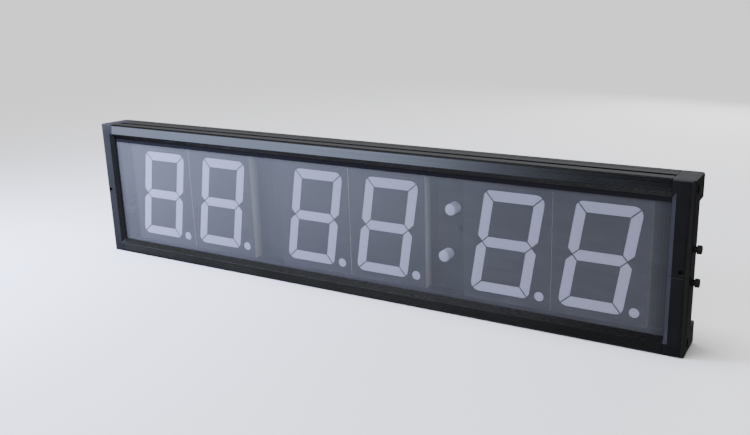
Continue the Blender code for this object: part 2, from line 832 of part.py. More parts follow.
def round_part(name, x, z, radius, thick, look):
    back = CONTROLLER_DEEP - GAP
    piece = rod(name, radius, (x, deep(back - thick), z), (x, deep(back), z), 24)
    return finish(piece, look)


def add_controller():
    width, height = CONTROLLER_SIZE
    middle = CASE_HEIGHT / 2
    board = box(
        "controller_board",
        (CONTROLLER_X - width / 2, deep(CONTROLLER_DEEP), middle - height / 2),
        (CONTROLLER_X + width / 2, deep(CONTROLLER_DEEP + BOARD_THICK), middle + height / 2),
    )
    finish(board, CIRCUIT)
    x = CONTROLLER_X
    controller_part("microcontroller", x - 0.012, middle + 0.012, 0.036, 0.0137, 0.004, CHIP_PLASTIC)
    controller_part("lamp_driver", x - 0.012, middle - 0.014, 0.026, 0.0090, 0.003, CHIP_PLASTIC)
    round_part("buzzer", x + 0.042, middle + 0.018, 0.0060, 0.0075, CHIP_PLASTIC)
    round_part("backup_cell", x + 0.038, middle - 0.016, 0.0100, 0.0032, STEEL)
    round_part("smoothing_capacitor", x - 0.046, middle + 0.020, 0.0040, 0.0078, STEEL)


def smooth(route, steps=4):
    """Points along a Catmull-Rom curve through the route's points."""
    points = [Vector(place) for place in route]
    ends = [2 * points[0] - points[1], *points, 2 * points[-1] - points[-2]]
    path = []
    for before, start, stop, after in zip(ends, ends[1:], ends[2:], ends[3:]):
        for step in range(steps):
            t = step / steps
            bend = 2 * before - 5 * start + 4 * stop - after
            twist = 3 * start - before - 3 * stop + after
            path.append(start + (stop - before) * t / 2 + bend * t**2 / 2 + twist * t**3 / 2)
    return [*path, points[-1]]


def add_lead(name, route, radius):
    """A round lead held inside the case along its whole route."""
    curve = bpy.data.curves.new(name, "CURVE")
    curve.dimensions = "3D"
    curve.bevel_depth = radius
    curve.bevel_resolution = 2
    curve.use_fill_caps = True
    path = smooth(route)
    spline = curve.splines.new("POLY")
    spline.points.add(len(path) - 1)
    for point, place in zip(spline.points, path):
        point.co = (*place, 1.0)
    finish(bpy.data.objects.new(name, curve), CHIP_PLASTIC)


def add_leads():
    """The inlet's lead, the switches' lead and the flat cable to the display boards."""
    level = deep(LEAD_DEEP)
    reach = CONTROLLER_SIZE[0] / 2 - 0.004
    inlet_back = RECESS - GAP + INLET_LENGTH + GAP
    low = INLET_HEIGHT + 0.012
    power = [
        (from_end(LEFT, inlet_back), deep(INLET_DEEP), INLET_HEIGHT),
        (from_end(LEFT, inlet_back + 0.009), deep(INLET_DEEP), INLET_HEIGHT),
        (from_end(LEFT, 0.050), level, INLET_HEIGHT + 0.004),
        (from_end(LEFT, 0.120), level, INLET_HEIGHT + 0.009),
        (from_end(LEFT, 0.220), level, low),
        (CONTROLLER_X - reach, level, low),
    ]
    add_lead("power_lead", power, 0.0017)
    middle = CASE_HEIGHT / 2
    board_back = SWITCH_FACE + SWITCH_DEPTH + GAP + BOARD_THICK + GAP
    switches = [
        (from_end(RIGHT, board_back), deep(BUTTON_DEEP + 0.0020), middle - 0.008),
        (from_end(RIGHT, board_back + 0.0018), deep(BUTTON_DEEP + 0.0020), middle - 0.008),
        (from_end(RIGHT, 0.0194), deep(0.0190), middle - 0.008),
        (from_end(RIGHT, 0.0208), deep(0.0245), middle - 0.008),
        (from_end(RIGHT, 0.0260), level, middle - 0.009),
        (from_end(RIGHT, 0.060), level, middle - 0.010),
        (from_end(RIGHT, 0.160), level, middle - 0.012),
        (CONTROLLER_X + reach, level, middle - 0.012),
    ]
    add_lead("button_lead", switches, 0.0012)
    width, thick = 0.016, 0.0009
    ahead = BOARD_GROOVE[1] + GAP
    behind = CONTROLLER_DEEP - GAP - thick
    ribbon = [(ahead, 0.050), (ahead + thick, 0.050), (ahead + thick, 0.0596)]
    ribbon += [(behind + thick, 0.0664), (behind + thick, 0.074), (behind, 0.074)]
    ribbon += [(behind, 0.0669), (ahead, 0.0601)]
    outline = [(deep(back), height) for back, height in ribbon]
    place = (CONTROLLER_X + 0.015, 0.0, 0.0)
    cable = drawing("display_cable", [outline], width, FACING_RIGHT, place)
    finish(cable, CHIP_PLASTIC)


# ---------------------------------------------------------------- push-buttons


def add_button(which):
    """A button that slides along X: its axis empty, head, neck and stem, and its switch."""
    axis = bpy.data.objects.new(f"{which}_button_axis", None)
    axis.location = (from_end(RIGHT, 0.0), deep(BUTTON_DEEP), BUTTON_HEIGHTS[which])
    PARTS.objects.link(axis)
    tip = BUTTON_STAND + BUTTON_LENGTH
    rounding = 0.0007
    stem_end = -0.0080
    profile = [(0.0, tip - 0.0003), (BUTTON_RADIUS - 0.0016, tip - 0.0003)]
    profile += [(BUTTON_RADIUS - 0.0010, tip), (BUTTON_RADIUS - rounding, tip)]
    profile += [(BUTTON_RADIUS - rounding * 0.3, tip - rounding * 0.3)]
    profile += [(BUTTON_RADIUS, tip - rounding), (BUTTON_RADIUS, BUTTON_STAND + 0.0004)]
    profile += [(BUTTON_RADIUS - 0.0004, BUTTON_STAND), (BUTTON_NECK, BUTTON_STAND)]
    profile += [(BUTTON_NECK, -CAP_WALL - 0.0012), (BUTTON_STEM, -CAP_WALL - 0.0012)]
    profile += [(BUTTON_STEM, stem_end), (0.0, stem_end)]
    cap = finish(turned(f"{which}_button_cap", profile, (0, 0, 0)), BUTTON_PLASTIC)
    cap.parent = axis
    plunger_end = stem_end - GAP - 0.0026
    plunger = rod(
        f"{which}_switch_plunger",
        0.0015,
        (plunger_end, 0.0, 0.0),
        (stem_end - GAP, 0.0, 0.0),
        16,
    )
    finish(plunger, CHIP_PLASTIC)
    plunger.parent = axis
    half = 0.0037
    face, depth = SWITCH_FACE, SWITCH_DEPTH
    place = (deep(BUTTON_DEEP), BUTTON_HEIGHTS[which])
    body = box(
        f"{which}_switch_body",
        (from_end(RIGHT, face), place[0] - half, place[1] - half),
        (from_end(RIGHT, face + depth), place[0] + half, place[1] + half),
    )
    well = rod(
        f"{which}_switch_well",
        0.0019,
        (from_end(RIGHT, face - TINY), *place),
        (from_end(RIGHT, face + 0.0030), *place),
        16,
    )
    finish(cut(body, [well]), CHIP_PLASTIC)


def add_button_board():
    """The small board that both switches sit on."""
    front = SWITCH_FACE + SWITCH_DEPTH + GAP
    low = BUTTON_HEIGHTS["lower"] - 0.0090
    high = BUTTON_HEIGHTS["upper"] + 0.0090
    board = box(
        "button_board",
        (from_end(RIGHT, front), deep(BUTTON_DEEP - 0.0042), low),
        (from_end(RIGHT, front + BOARD_THICK), deep(BUTTON_DEEP + 0.0042), high),
    )
    hole = rod(
        "button_board_hole",
        BOARD_SCREW[2] + GAP,
        peg_place(front - TINY),
        peg_place(front + BOARD_THICK + TINY),
        12,
    )
    finish(cut(board, [hole]), CIRCUIT)


def peg_place(distance):
    """A point on the axis of the peg that carries the button board."""
    middle = (BUTTON_HEIGHTS["lower"] + BUTTON_HEIGHTS["upper"]) / 2
    return (from_end(RIGHT, distance), deep(BUTTON_DEEP), middle)


def add_button_peg(cap, name):
    """The peg inside the right upper cap, bored for the button board's screw."""
    top = SWITCH_FACE + SWITCH_DEPTH
    peg = rod(f"{name}_peg", PEG_RADIUS, peg_place(CAP_WALL - TINY), peg_place(top), 16)
    bore = rod(
        f"{name}_peg_bore",
        BOARD_SCREW[2] + GAP,
        peg_place(top - BOARD_SCREW[3]),
        peg_place(top + TINY),
        12,
    )
    join(cap, [peg])
    cut(cap, [bore])


# ---------------------------------------------------------------- rear cover, inlet, screws


def keyhole(x):
    """A hanging hole: a round hole with a narrower slot above it."""
    rise = KEYHOLE_HEIGHT + KEYHOLE_RISE
    lean = math.degrees(math.asin(KEYHOLE_SLOT / KEYHOLE_RADIUS))
    slot = arc((x, rise), KEYHOLE_SLOT, 0, 180, 6)
    hole = arc((x, KEYHOLE_HEIGHT), KEYHOLE_RADIUS, 90 + lean, 450 - lean, 16)
    return slot + hole


def add_rear_cover():
    across = CASE_WIDTH / 2 - RIM - GAP
    margin = REBATE_INSET + GAP
    outlines = [rectangle((-across, margin), (across, CASE_HEIGHT - margin))]
    outlines += [keyhole(side * KEYHOLE_X) for side in (LEFT, RIGHT)]
    outlines += [
        circle((side * COVER_SCREW_X, from_edge(level, COVER_SCREW_INSET)), COVER_SCREW_HOLE, 12)
        for side in (LEFT, RIGHT)
        for level in (LOWER, UPPER)
    ]
    across_sound, ring_radius, hole_radius = SOUND_HOLES
    sound = (CONTROLLER_X + across_sound, CASE_HEIGHT / 2)
    ring = circle(sound, ring_radius, 6)
    outlines += [circle(centre, hole_radius, 10) for centre in (sound, *ring)]
    middle = (0.0, deep(COVER_DEEP + COVER_THICK / 2), 0.0)
    cover = drawing("rear_cover", outlines, COVER_THICK, location=middle)
    reach = [size / 2 - STUD_REACH for size in CONTROLLER_SIZE]
    studs = []
    for side in (LEFT, RIGHT):
        for level in (LOWER, UPPER):
            x = CONTROLLER_X + side * reach[0]
            z = CASE_HEIGHT / 2 + level * reach[1]
            start = (x, deep(CONTROLLER_DEEP + BOARD_THICK + GAP), z)
            end = (x, deep(COVER_DEEP + COVER_THICK / 2), z)
            studs.append(rod("cover_stud", STUD_RADIUS, start, end, 12))
    finish(join(cover, studs), SHEET)


def add_inlet():
    """The low-voltage inlet: a flanged socket with a centre pin, and its hexagon nut."""
    outside = RECESS - GAP
    length, lip, pin = INLET_LENGTH, INLET_LIP, INLET_PIN
    bottom = lip - INLET_BORE_DEPTH
    chamfer = 0.0005
    # Along the axis, zero is the flange's inner face and the mouth is at the positive end.
    profile = [(0.0, -0.0002), (pin * 0.6, -0.0002), (pin, -0.0008), (pin, bottom)]
    profile += [(INLET_BORE, bottom), (INLET_BORE, lip), (INLET_FLANGE - chamfer, lip)]
    profile += [(INLET_FLANGE, lip - chamfer), (INLET_FLANGE, 0.0)]
    profile += [(INLET_RADIUS, 0.0), (INLET_RADIUS, -length), (0.0, -length)]
    place = (from_end(LEFT, outside), deep(INLET_DEEP), INLET_HEIGHT)
    inlet = turned("power_inlet", profile, place)
    inlet.rotation_euler = (0.0, math.radians(-90), 0.0)
    finish(inlet, CHIP_PLASTIC)
    hexagon = circle((0.0, 0.0), INLET_FLANGE, 6)
    hole = circle((0.0, 0.0), INLET_RADIUS + GAP, 20)
    inner = RECESS + CAP_WALL + GAP
    nut = drawing(
        "inlet_nut",
        [hexagon, hole],
        NUT_THICK,
        FACING_RIGHT,
        (from_end(LEFT, inner + NUT_THICK / 2), deep(INLET_DEEP), INLET_HEIGHT),
    )
    finish(nut, STEEL)


def screw_mesh(head_radius, head_height, shank_radius, length):
    """A cross-head pan screw along +X, its head's underside at the origin."""
    profile = [(0.0, head_height), (head_radius * 0.55, head_height)]
    profile += [(head_radius * 0.9, head_height * 0.62), (head_radius, 0.0)]
    profile += [(shank_radius, 0.0), (shank_radius, 0.0008 - length)]
    profile += [(0.0, -length)]
    screw = turned("screw", profile, (0, 0, 0), 16)
    arm = (head_radius * 0.62, head_radius * 0.16)
    reach = (head_height * 0.45, head_height + TINY)
    cross = [
        box("recess_one", (reach[0], -arm[0], -arm[1]), (reach[1], arm[0], arm[1])),
        box("recess_two", (reach[0], -arm[1], -arm[0]), (reach[1], arm[1], arm[0])),
    ]
    return mesh_of(cut(screw, cross))


def add_screws():
    """A screw through each cap half into its rail, four in the cover, one in the button board."""
    long_screw = screw_mesh(*CAP_SCREW)
    short_screw = screw_mesh(*COVER_SCREW)
    small_screw = screw_mesh(*BOARD_SCREW)
    seat = peg_place(SWITCH_FACE + SWITCH_DEPTH + 2 * GAP + BOARD_THICK)
    board_screw = copy_of("button_board_screw", small_screw, STEEL, seat)
    board_screw.rotation_euler = (0.0, 0.0, math.radians(180))
    back, inset = SCREW_CHANNEL
    for end, side in (("left", LEFT), ("right", RIGHT)):
        for edge, level in (("upper", UPPER), ("lower", LOWER)):
            seat = from_end(side, POCKET_DEPTH - GAP)
            place = (seat, deep(back), from_edge(level, inset))
            cap_screw = copy_of(f"{end}_{edge}_cap_screw", long_screw, STEEL, place)
            cap_screw.rotation_euler = (0.0, 0.0, math.radians(90 - 90 * side))
            seat = deep(COVER_DEEP + COVER_THICK + GAP)
            place = (side * COVER_SCREW_X, seat, from_edge(level, COVER_SCREW_INSET))
            cover_screw = copy_of(f"{end}_{edge}_cover_screw", short_screw, STEEL, place)
            cover_screw.rotation_euler = (0.0, 0.0, math.radians(90))


def build():
    add_rail("top_rail", UPPER)
    add_rail("bottom_rail", LOWER)
    for side in (LEFT, RIGHT):
        for level in (UPPER, LOWER):
            add_cap(side, level)
    add_lens()
    add_digits()
    add_colon()
    add_display_boards()
    add_controller()
    add_leads()
    for which in BUTTON_HEIGHTS:
        add_button(which)
    add_button_board()
    add_rear_cover()
    add_inlet()
    add_screws()


build()
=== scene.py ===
"""Looks of the gym round timer: finished pieces, materials, light and camera around the CAD frame.

World frame, in metres: +X is the viewer's right, the display faces -Y and +Z is up.
"""

import json
import math

import bmesh
import bpy
from mathutils import Matrix, Vector

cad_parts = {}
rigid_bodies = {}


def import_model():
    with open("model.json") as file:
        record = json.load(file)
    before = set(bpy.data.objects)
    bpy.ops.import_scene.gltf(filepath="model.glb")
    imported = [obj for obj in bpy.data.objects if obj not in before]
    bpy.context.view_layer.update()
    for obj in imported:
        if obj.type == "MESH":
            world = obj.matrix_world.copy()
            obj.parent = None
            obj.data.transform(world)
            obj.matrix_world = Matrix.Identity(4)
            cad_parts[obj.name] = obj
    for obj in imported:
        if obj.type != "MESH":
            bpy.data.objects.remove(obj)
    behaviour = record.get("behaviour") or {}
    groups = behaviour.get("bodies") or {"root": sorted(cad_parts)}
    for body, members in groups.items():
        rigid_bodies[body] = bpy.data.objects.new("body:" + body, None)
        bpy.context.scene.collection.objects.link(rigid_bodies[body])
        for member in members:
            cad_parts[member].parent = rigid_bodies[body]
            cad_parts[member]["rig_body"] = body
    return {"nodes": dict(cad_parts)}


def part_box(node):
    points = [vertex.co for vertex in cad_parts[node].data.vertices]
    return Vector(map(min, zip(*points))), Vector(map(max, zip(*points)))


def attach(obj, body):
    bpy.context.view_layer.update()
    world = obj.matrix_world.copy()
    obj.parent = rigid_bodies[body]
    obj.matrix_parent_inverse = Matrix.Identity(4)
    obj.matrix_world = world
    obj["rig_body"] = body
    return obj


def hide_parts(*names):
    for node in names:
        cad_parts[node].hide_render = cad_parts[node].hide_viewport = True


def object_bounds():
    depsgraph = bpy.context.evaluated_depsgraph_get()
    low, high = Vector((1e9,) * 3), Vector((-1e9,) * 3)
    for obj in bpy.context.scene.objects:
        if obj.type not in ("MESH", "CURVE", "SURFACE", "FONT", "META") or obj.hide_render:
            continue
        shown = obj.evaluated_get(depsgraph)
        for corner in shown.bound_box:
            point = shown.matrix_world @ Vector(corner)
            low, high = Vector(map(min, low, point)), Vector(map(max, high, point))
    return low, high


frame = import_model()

CAD_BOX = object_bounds()
NODES = frame["nodes"]
BODY_OF = {name: node["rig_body"] for name, node in NODES.items()}


# ---------------------------------------------------------------- node helpers


def add(tree, kind, inputs=None, **settings):
    """A shader node with its settings, and its inputs as values or as links."""
    made = tree.nodes.new(kind)
    for key, value in settings.items():
        setattr(made, key, value)
    for key, value in (inputs or {}).items():
        if isinstance(value, bpy.types.NodeSocket):
            tree.links.new(value, made.inputs[key])
        else:
            made.inputs[key].default_value = value
    return made


def math_node(tree, operation, first, second=0.0):
    return add(tree, "ShaderNodeMath", {0: first, 1: second}, operation=operation).outputs[0]


def grade(tree, value, low, high, start=0.0, end=1.0):
    """Map value from low..high to start..end, smoothly."""
    inputs = {0: value, 1: low, 2: high, 3: start, 4: end}
    return add(tree, "ShaderNodeMapRange", inputs, interpolation_type="SMOOTHSTEP").outputs[0]


def between(tree, amount, dark, light):
    """A colour between two, by amount."""
    made = add(tree, "ShaderNodeMix", {0: amount}, data_type="RGBA")
    made.inputs[6].default_value = (*dark, 1.0)
    made.inputs[7].default_value = (*light, 1.0)
    return made.outputs[2]


def blended(tree, amount, first, second):
    """A colour between two colour sockets, by amount."""
    made = add(tree, "ShaderNodeMix", {0: amount}, data_type="RGBA")
    tree.links.new(first, made.inputs[6])
    tree.links.new(second, made.inputs[7])
    return made.outputs[2]


def place(tree, scale=(1, 1, 1)):
    """The piece's own coordinates, in metres, stretched by scale."""
    coords = add(tree, "ShaderNodeTexCoord").outputs["Object"]
    return add(tree, "ShaderNodeVectorMath", {0: coords, 1: scale}, operation="MULTIPLY").outputs[0]


def noise(tree, vector, scale, detail=3.0, roughness=0.5):
    inputs = {"Vector": vector, "Scale": scale, "Detail": detail, "Roughness": roughness}
    return add(tree, "ShaderNodeTexNoise", inputs).outputs["Fac"]


def bump(tree, height, distance, strength=1.0):
    inputs = {"Height": height, "Distance": distance, "Strength": strength}
    return add(tree, "ShaderNodeBump", inputs).outputs["Normal"]


def principled(name, **fixed):
    """A material with its Principled shader, and the shader's fixed numbers."""
    made = bpy.data.materials.new(name)
    made.use_nodes = True
    tree = made.node_tree
    shader = tree.nodes["Principled BSDF"]
    for key, value in fixed.items():
        shader.inputs[key.replace("_", " ")].default_value = value
    return made, tree, shader


def dress(tree, shader, colour, rough, normal):
    """Feed a shader's colour, roughness and normal."""
    for socket, value in (("Base Color", colour), ("Roughness", rough), ("Normal", normal)):
        tree.links.new(value, shader.inputs[socket])


def edge_wear_and_highlight(tree):
    """How much a surface faces between two axes, which only the rounded edges do; the lightening it drives
    stands for wear and a painted highlight.
    """
    normal = add(tree, "ShaderNodeNewGeometry").outputs["Normal"]
    parts = add(tree, "ShaderNodeSeparateXYZ", {0: normal}).outputs
    squares = [math_node(tree, "POWER", math_node(tree, "ABSOLUTE", part), 4.0) for part in parts]
    flatness = math_node(tree, "ADD", math_node(tree, "ADD", squares[0], squares[1]), squares[2])
    return grade(tree, flatness, 0.95, 0.55)


# ---------------------------------------------------------------- materials


def anodised():
    """Black anodised aluminium: draw lines along the rail, worn edges that also carry a painted highlight,
    faint cloudiness.
    """
    made, tree, shader = principled("anodised_aluminium", Metallic=1.0)
    lines = noise(tree, place(tree, (6.0, 2600.0, 2600.0)), 1.0, 2.0)
    clouds = noise(tree, place(tree, (14.0, 40.0, 40.0)), 1.0, 4.0)
    dust = noise(tree, place(tree), 900.0, 2.0, 0.7)
    body = between(tree, clouds, (0.105, 0.108, 0.115), (0.150, 0.153, 0.162))
    # painted highlight and wear: rounded edges turn lighter where the dust noise allows
    rubbed_and_highlit = math_node(tree, "MULTIPLY", edge_wear_and_highlight(tree), grade(tree, dust, 0.35, 0.75))
    light = between(tree, clouds, (0.26, 0.26, 0.27), (0.34, 0.34, 0.35))
    drawn = grade(tree, lines, 0.3, 0.7, 0.20, 0.27)
    rough = math_node(tree, "ADD", drawn, grade(tree, clouds, 0.3, 0.7, 0.0, 0.04))
    relief = math_node(tree, "ADD", lines, math_node(tree, "MULTIPLY", dust, 0.4))
    dress(tree, shader, blended(tree, rubbed_and_highlit, body, light), rough, bump(tree, relief, 0.000012, 0.5))
    return made


def cap_plastic():
    """Moulded black plastic with a fine spark texture, scuffed edges with a painted highlight, and lighter
    upward faces.
    """
    made, tree, shader = principled("cap_plastic", IOR=1.5, Specular_IOR_Level=0.28)
    grain = add(tree, "ShaderNodeTexVoronoi", {"Vector": place(tree), "Scale": 1500.0}).outputs["Distance"]
    fine = noise(tree, place(tree), 2400.0, 3.0, 0.6)
    clouds = noise(tree, place(tree), 45.0, 4.0)
    speck = grade(tree, noise(tree, place(tree), 1300.0, 1.0), 0.62, 0.74)
    body = between(tree, clouds, (0.009, 0.0095, 0.010), (0.014, 0.0145, 0.0155))
    light = between(tree, clouds, (0.07, 0.07, 0.074), (0.10, 0.10, 0.104))
    normal = add(tree, "ShaderNodeNewGeometry").outputs["Normal"]
    # upward faces are made lighter, up to a quarter of the way to the light colour
    upward = add(tree, "ShaderNodeSeparateXYZ", {0: normal}).outputs[2]
    dust = grade(tree, upward, 0.6, 0.95, 0.0, 0.25)
    # painted highlight with scuffs: the rounded edges are lightened
    scuffs_and_highlight = math_node(tree, "MULTIPLY", edge_wear_and_highlight(tree), 0.3)
    specks_and_edge_highlight = math_node(tree, "ADD", math_node(tree, "MULTIPLY", speck, 0.3), scuffs_and_highlight)
    colour = blended(tree, math_node(tree, "ADD", specks_and_edge_highlight, dust), body, light)
    rough = grade(tree, clouds, 0.3, 0.7, 0.30, 0.40)
    dress(tree, shader, colour, rough, bump(tree, math_node(tree, "ADD", grain, fine), 0.00005, 0.45))
    return made


def smoked_lens():
    """Tinted acrylic with wipe marks and gloss by Fresnel.

    A dusty haze thins out past the last digit, so the lens is darker there, and a matt black band above the
    modules is painted shadow of the rail's lip.
    """
    made = bpy.data.materials.new("smoked_acrylic")
    made.use_nodes = True
    tree = made.node_tree
    tree.nodes.remove(tree.nodes["Principled BSDF"])
    wipes = noise(tree, place(tree, (30.0, 30.0, 260.0)), 1.0, 4.0, 0.6)
    smears = noise(tree, place(tree, (9.0, 9.0, 14.0)), 1.0, 3.0)
    tint = between(tree, smears, (0.845, 0.85, 0.862), (0.865, 0.87, 0.882))
    clear = add(tree, "ShaderNodeBsdfTransparent", {"Color": tint}).outputs[0]
    haze = add(tree, "ShaderNodeBsdfDiffuse", {"Color": (0.88, 0.89, 0.92, 1.0)}).outputs[0]
    along, _, up = add(tree, "ShaderNodeSeparateXYZ", {0: place(tree)}).outputs
    # less haze past the last digit, so the lens is darker at its right end
    haze_fade_past_last_digit = grade(tree, along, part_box("digit_6_housing")[1].x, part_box("front_lens")[1].x, 1.0, 0.55)
    amount = math_node(tree, "MULTIPLY", grade(tree, wipes, 0.3, 0.8, 0.046, 0.058), haze_fade_past_last_digit)
    body = add(tree, "ShaderNodeMixShader", {0: amount, 1: clear, 2: haze}).outputs[0]
    streaked = grade(tree, wipes, 0.35, 0.75, 0.05, 0.12)
    rough = math_node(tree, "ADD", streaked, grade(tree, smears, 0.4, 0.7, 0.0, 0.05))
    waves = bump(tree, smears, 0.0002, 0.15)
    gloss = add(tree, "ShaderNodeBsdfGlossy", {"Roughness": rough, "Normal": waves}).outputs[0]
    fresnel = add(tree, "ShaderNodeFresnel", {"IOR": 1.49}).outputs[0]
    backs = add(tree, "ShaderNodeNewGeometry").outputs["Backfacing"]
    facing = math_node(tree, "MULTIPLY", fresnel, math_node(tree, "SUBTRACT", 1.0, backs))
    mixed = add(tree, "ShaderNodeMixShader", {0: facing, 1: body, 2: gloss}).outputs[0]
    # painted shadow: a matt black band above the modules stands in for the rail lip's shadow
    painted_lip_shadow = add(tree, "ShaderNodeBsdfDiffuse", {"Color": (0.0165, 0.0165, 0.018, 1.0)}).outputs[0]
    lip_shadow_band = math_node(tree, "GREATER_THAN", up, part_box("digit_1_housing")[1].z)
    whole = add(tree, "ShaderNodeMixShader", {0: lip_shadow_band, 1: mixed, 2: painted_lip_shadow}).outputs[0]
    tree.links.new(whole, tree.nodes["Material Output"].inputs["Surface"])
    return made


def housing_plastic():
    """Digit housing: a grey silk-screened face, and cream side walls darkened towards the back by painted
    shade; the top and bottom walls are black.
    """
    made, tree, shader = principled("digit_housing", IOR=1.5)
    normal = add(tree, "ShaderNodeNewGeometry").outputs["Normal"]
    sideways, forward, _ = add(tree, "ShaderNodeSeparateXYZ", {0: normal}).outputs
    face = grade(tree, forward, -0.75, -0.9)
    behind = add(tree, "ShaderNodeSeparateXYZ", {0: place(tree)}).outputs[1]
    side = grade(tree, math_node(tree, "ABSOLUTE", sideways), 0.5, 0.8)
    # painted shade: the cream side walls darken towards the back of the housing
    cream_in_painted_depth_shade = math_node(tree, "MULTIPLY", side, grade(tree, behind, 0.0130, 0.0, 0.25, 1.0))
    streaks = noise(tree, place(tree, (260.0, 40.0, 18.0)), 1.0, 3.0)
    grain = noise(tree, place(tree), 1600.0, 2.0, 0.6)
    grey = between(tree, streaks, (0.037, 0.037, 0.039), (0.047, 0.047, 0.049))
    cream = between(tree, grain, (0.80, 0.78, 0.73), (0.86, 0.84, 0.79))
    black = between(tree, grain, (0.010, 0.010, 0.011), (0.015, 0.015, 0.016))
    walls = blended(tree, cream_in_painted_depth_shade, black, cream)
    rough = grade(tree, grain, 0.3, 0.7, 0.5, 0.62)
    dress(tree, shader, blended(tree, face, walls, grey), rough, bump(tree, grain, 0.00004, 0.5))
    return made


def diffuser():
    """Milky, faintly violet epoxy of an unlit segment."""
    made, tree, shader = principled("segment_diffuser", IOR=1.5, Subsurface_Weight=0.15)
    shader.inputs["Subsurface Radius"].default_value = (0.002, 0.002, 0.0022)
    shader.inputs["Subsurface Scale"].default_value = 1.0
    clouds = noise(tree, place(tree), 90.0, 3.0)
    grain = noise(tree, place(tree), 2200.0, 2.0, 0.6)
    colour = between(tree, clouds, (0.69, 0.68, 0.83), (0.76, 0.75, 0.90))
    dress(tree, shader, colour, grade(tree, grain, 0.3, 0.7, 0.38, 0.5), bump(tree, grain, 0.00003, 0.4))
    return made


def circuit_board():
    """Black solder mask over faint copper tracks."""
    made, tree, shader = principled("circuit_board", IOR=1.5)
    bricks = {"Vector": place(tree), "Scale": 160.0, "Mortar Size": 0.05}
    tracks = add(tree, "ShaderNodeTexBrick", bricks).outputs["Fac"]
    grain = noise(tree, place(tree), 700.0, 2.0)
    colour = between(tree, tracks, (0.012, 0.020, 0.016), (0.022, 0.034, 0.028))
    dress(tree, shader, colour, grade(tree, grain, 0.3, 0.7, 0.34, 0.46), bump(tree, tracks, 0.00004, 0.5))
    return made


def powder_coat():
    """Black powder coat with orange peel, and worn edges that also carry a painted highlight."""
    made, tree, shader = principled("powder_coated_sheet", IOR=1.5)
    peel = noise(tree, place(tree), 620.0, 2.0)
    clouds = noise(tree, place(tree), 22.0, 4.0)
    body = between(tree, clouds, (0.036, 0.037, 0.039), (0.048, 0.049, 0.051))
    light = between(tree, clouds, (0.11, 0.11, 0.11), (0.15, 0.15, 0.15))
    # painted highlight and wear: all rounded edges are lightened
    colour = blended(tree, math_node(tree, "MULTIPLY", edge_wear_and_highlight(tree), 0.4), body, light)
    dress(tree, shader, colour, grade(tree, clouds, 0.3, 0.7, 0.42, 0.52), bump(tree, peel, 0.00008, 0.5))
    return made


def button_plastic():
    """Polished black button with hairline scratches."""
    made, tree, shader = principled("button_plastic", IOR=1.52)
    scratches = noise(tree, place(tree, (400.0, 2600.0, 500.0)), 1.0, 3.0, 0.7)
    clouds = noise(tree, place(tree), 240.0, 3.0)
    colour = between(tree, clouds, (0.018, 0.018, 0.020), (0.028, 0.028, 0.030))
    rough = grade(tree, scratches, 0.35, 0.75, 0.20, 0.34)
    dress(tree, shader, colour, rough, bump(tree, scratches, 0.00001, 0.4))
    return made


def zinc_steel():
    """Zinc-plated steel with spangle and fine turning marks."""
    made, tree, shader = principled("zinc_steel", Metallic=1.0)
    spangle = add(tree, "ShaderNodeTexVoronoi", {"Vector": place(tree), "Scale": 1400.0}).outputs["Color"]
    tone = add(tree, "ShaderNodeSeparateColor", {0: spangle}).outputs[0]
    fine = noise(tree, place(tree), 3000.0, 2.0)
    colour = between(tree, tone, (0.50, 0.50, 0.51), (0.64, 0.64, 0.65))
    dress(tree, shader, colour, grade(tree, tone, 0.0, 1.0, 0.26, 0.40), bump(tree, fine, 0.00002, 0.4))
    return made


def epoxy():
    """Matt black moulding compound of chips, sockets and leads."""
    made, tree, shader = principled("component_epoxy", IOR=1.5)
    grain = noise(tree, place(tree), 1800.0, 3.0, 0.65)
    clouds = noise(tree, place(tree), 120.0, 3.0)
    colour = between(tree, clouds, (0.022, 0.022, 0.023), (0.036, 0.036, 0.037))
    dress(tree, shader, colour, grade(tree, clouds, 0.3, 0.7, 0.42, 0.6), bump(tree, grain, 0.00003, 0.6))
    return made


LOOKS = {
    "rail": anodised(),
    "cap": cap_plastic(),
    "lens": smoked_lens(),
    "digit_face": housing_plastic(),
    "diffuser": diffuser(),
    "circuit_board": circuit_board(),
    "rear_sheet": powder_coat(),
    "button": button_plastic(),
    "steel": zinc_steel(),
    "component": epoxy(),
}


def slot_of(name):
    """The record's material slot of a node, from the node's name."""
    if name.endswith("_rail"):
        return "rail"
    if name.endswith("_cap") and "button" not in name:
        return "cap"
    if name.endswith("_lens"):
        return "lens"
    if name.endswith("_housing"):
        return "digit_face"
    if name.endswith(("_diffuser", "_lamp")):
        return "diffuser"
    if name.endswith("_board"):
        return "circuit_board"
    if name == "rear_cover":
        return "rear_sheet"
    if name.endswith("_button_cap"):
        return "button"
    if name.endswith(("_screw", "_nut", "_cell", "_capacitor")):
        return "steel"
    return "component"


def wear_looks():
    for name, node in NODES.items():
        node.data.materials.clear()
        node.data.materials.append(LOOKS[slot_of(name)])


# ---------------------------------------------------------------- shapes

FACING_FRONT = Matrix(((1, 0, 0), (0, 0, -1), (0, 1, 0)))  # drawn x, y to world X, Z
FACING_RIGHT = Matrix(((0, 0, 1), (1, 0, 0), (0, 1, 0)))  # drawn x, y to world Y, Z
FACING_UP = Matrix.Identity(3)
WELD = 0.000001  # merge distance of points that meet
SMOOTH_BELOW = math.radians(33)
LEFT, RIGHT = -1, 1
LOWER, UPPER = -1, 1


def arc(centre, radius, start, end, steps=12):
    """Points on a circle's arc, with the angles in degrees."""
    angles = (math.radians(start + (end - start) * i / steps) for i in range(steps + 1))
    return [(centre[0] + radius * math.cos(a), centre[1] + radius * math.sin(a)) for a in angles]


def circle(centre, radius, sides=48):
    return arc(centre, radius, 0, 360, sides)[:-1]


def rectangle(low, high):
    return [low, (high[0], low[1]), high, (low[0], high[1])]


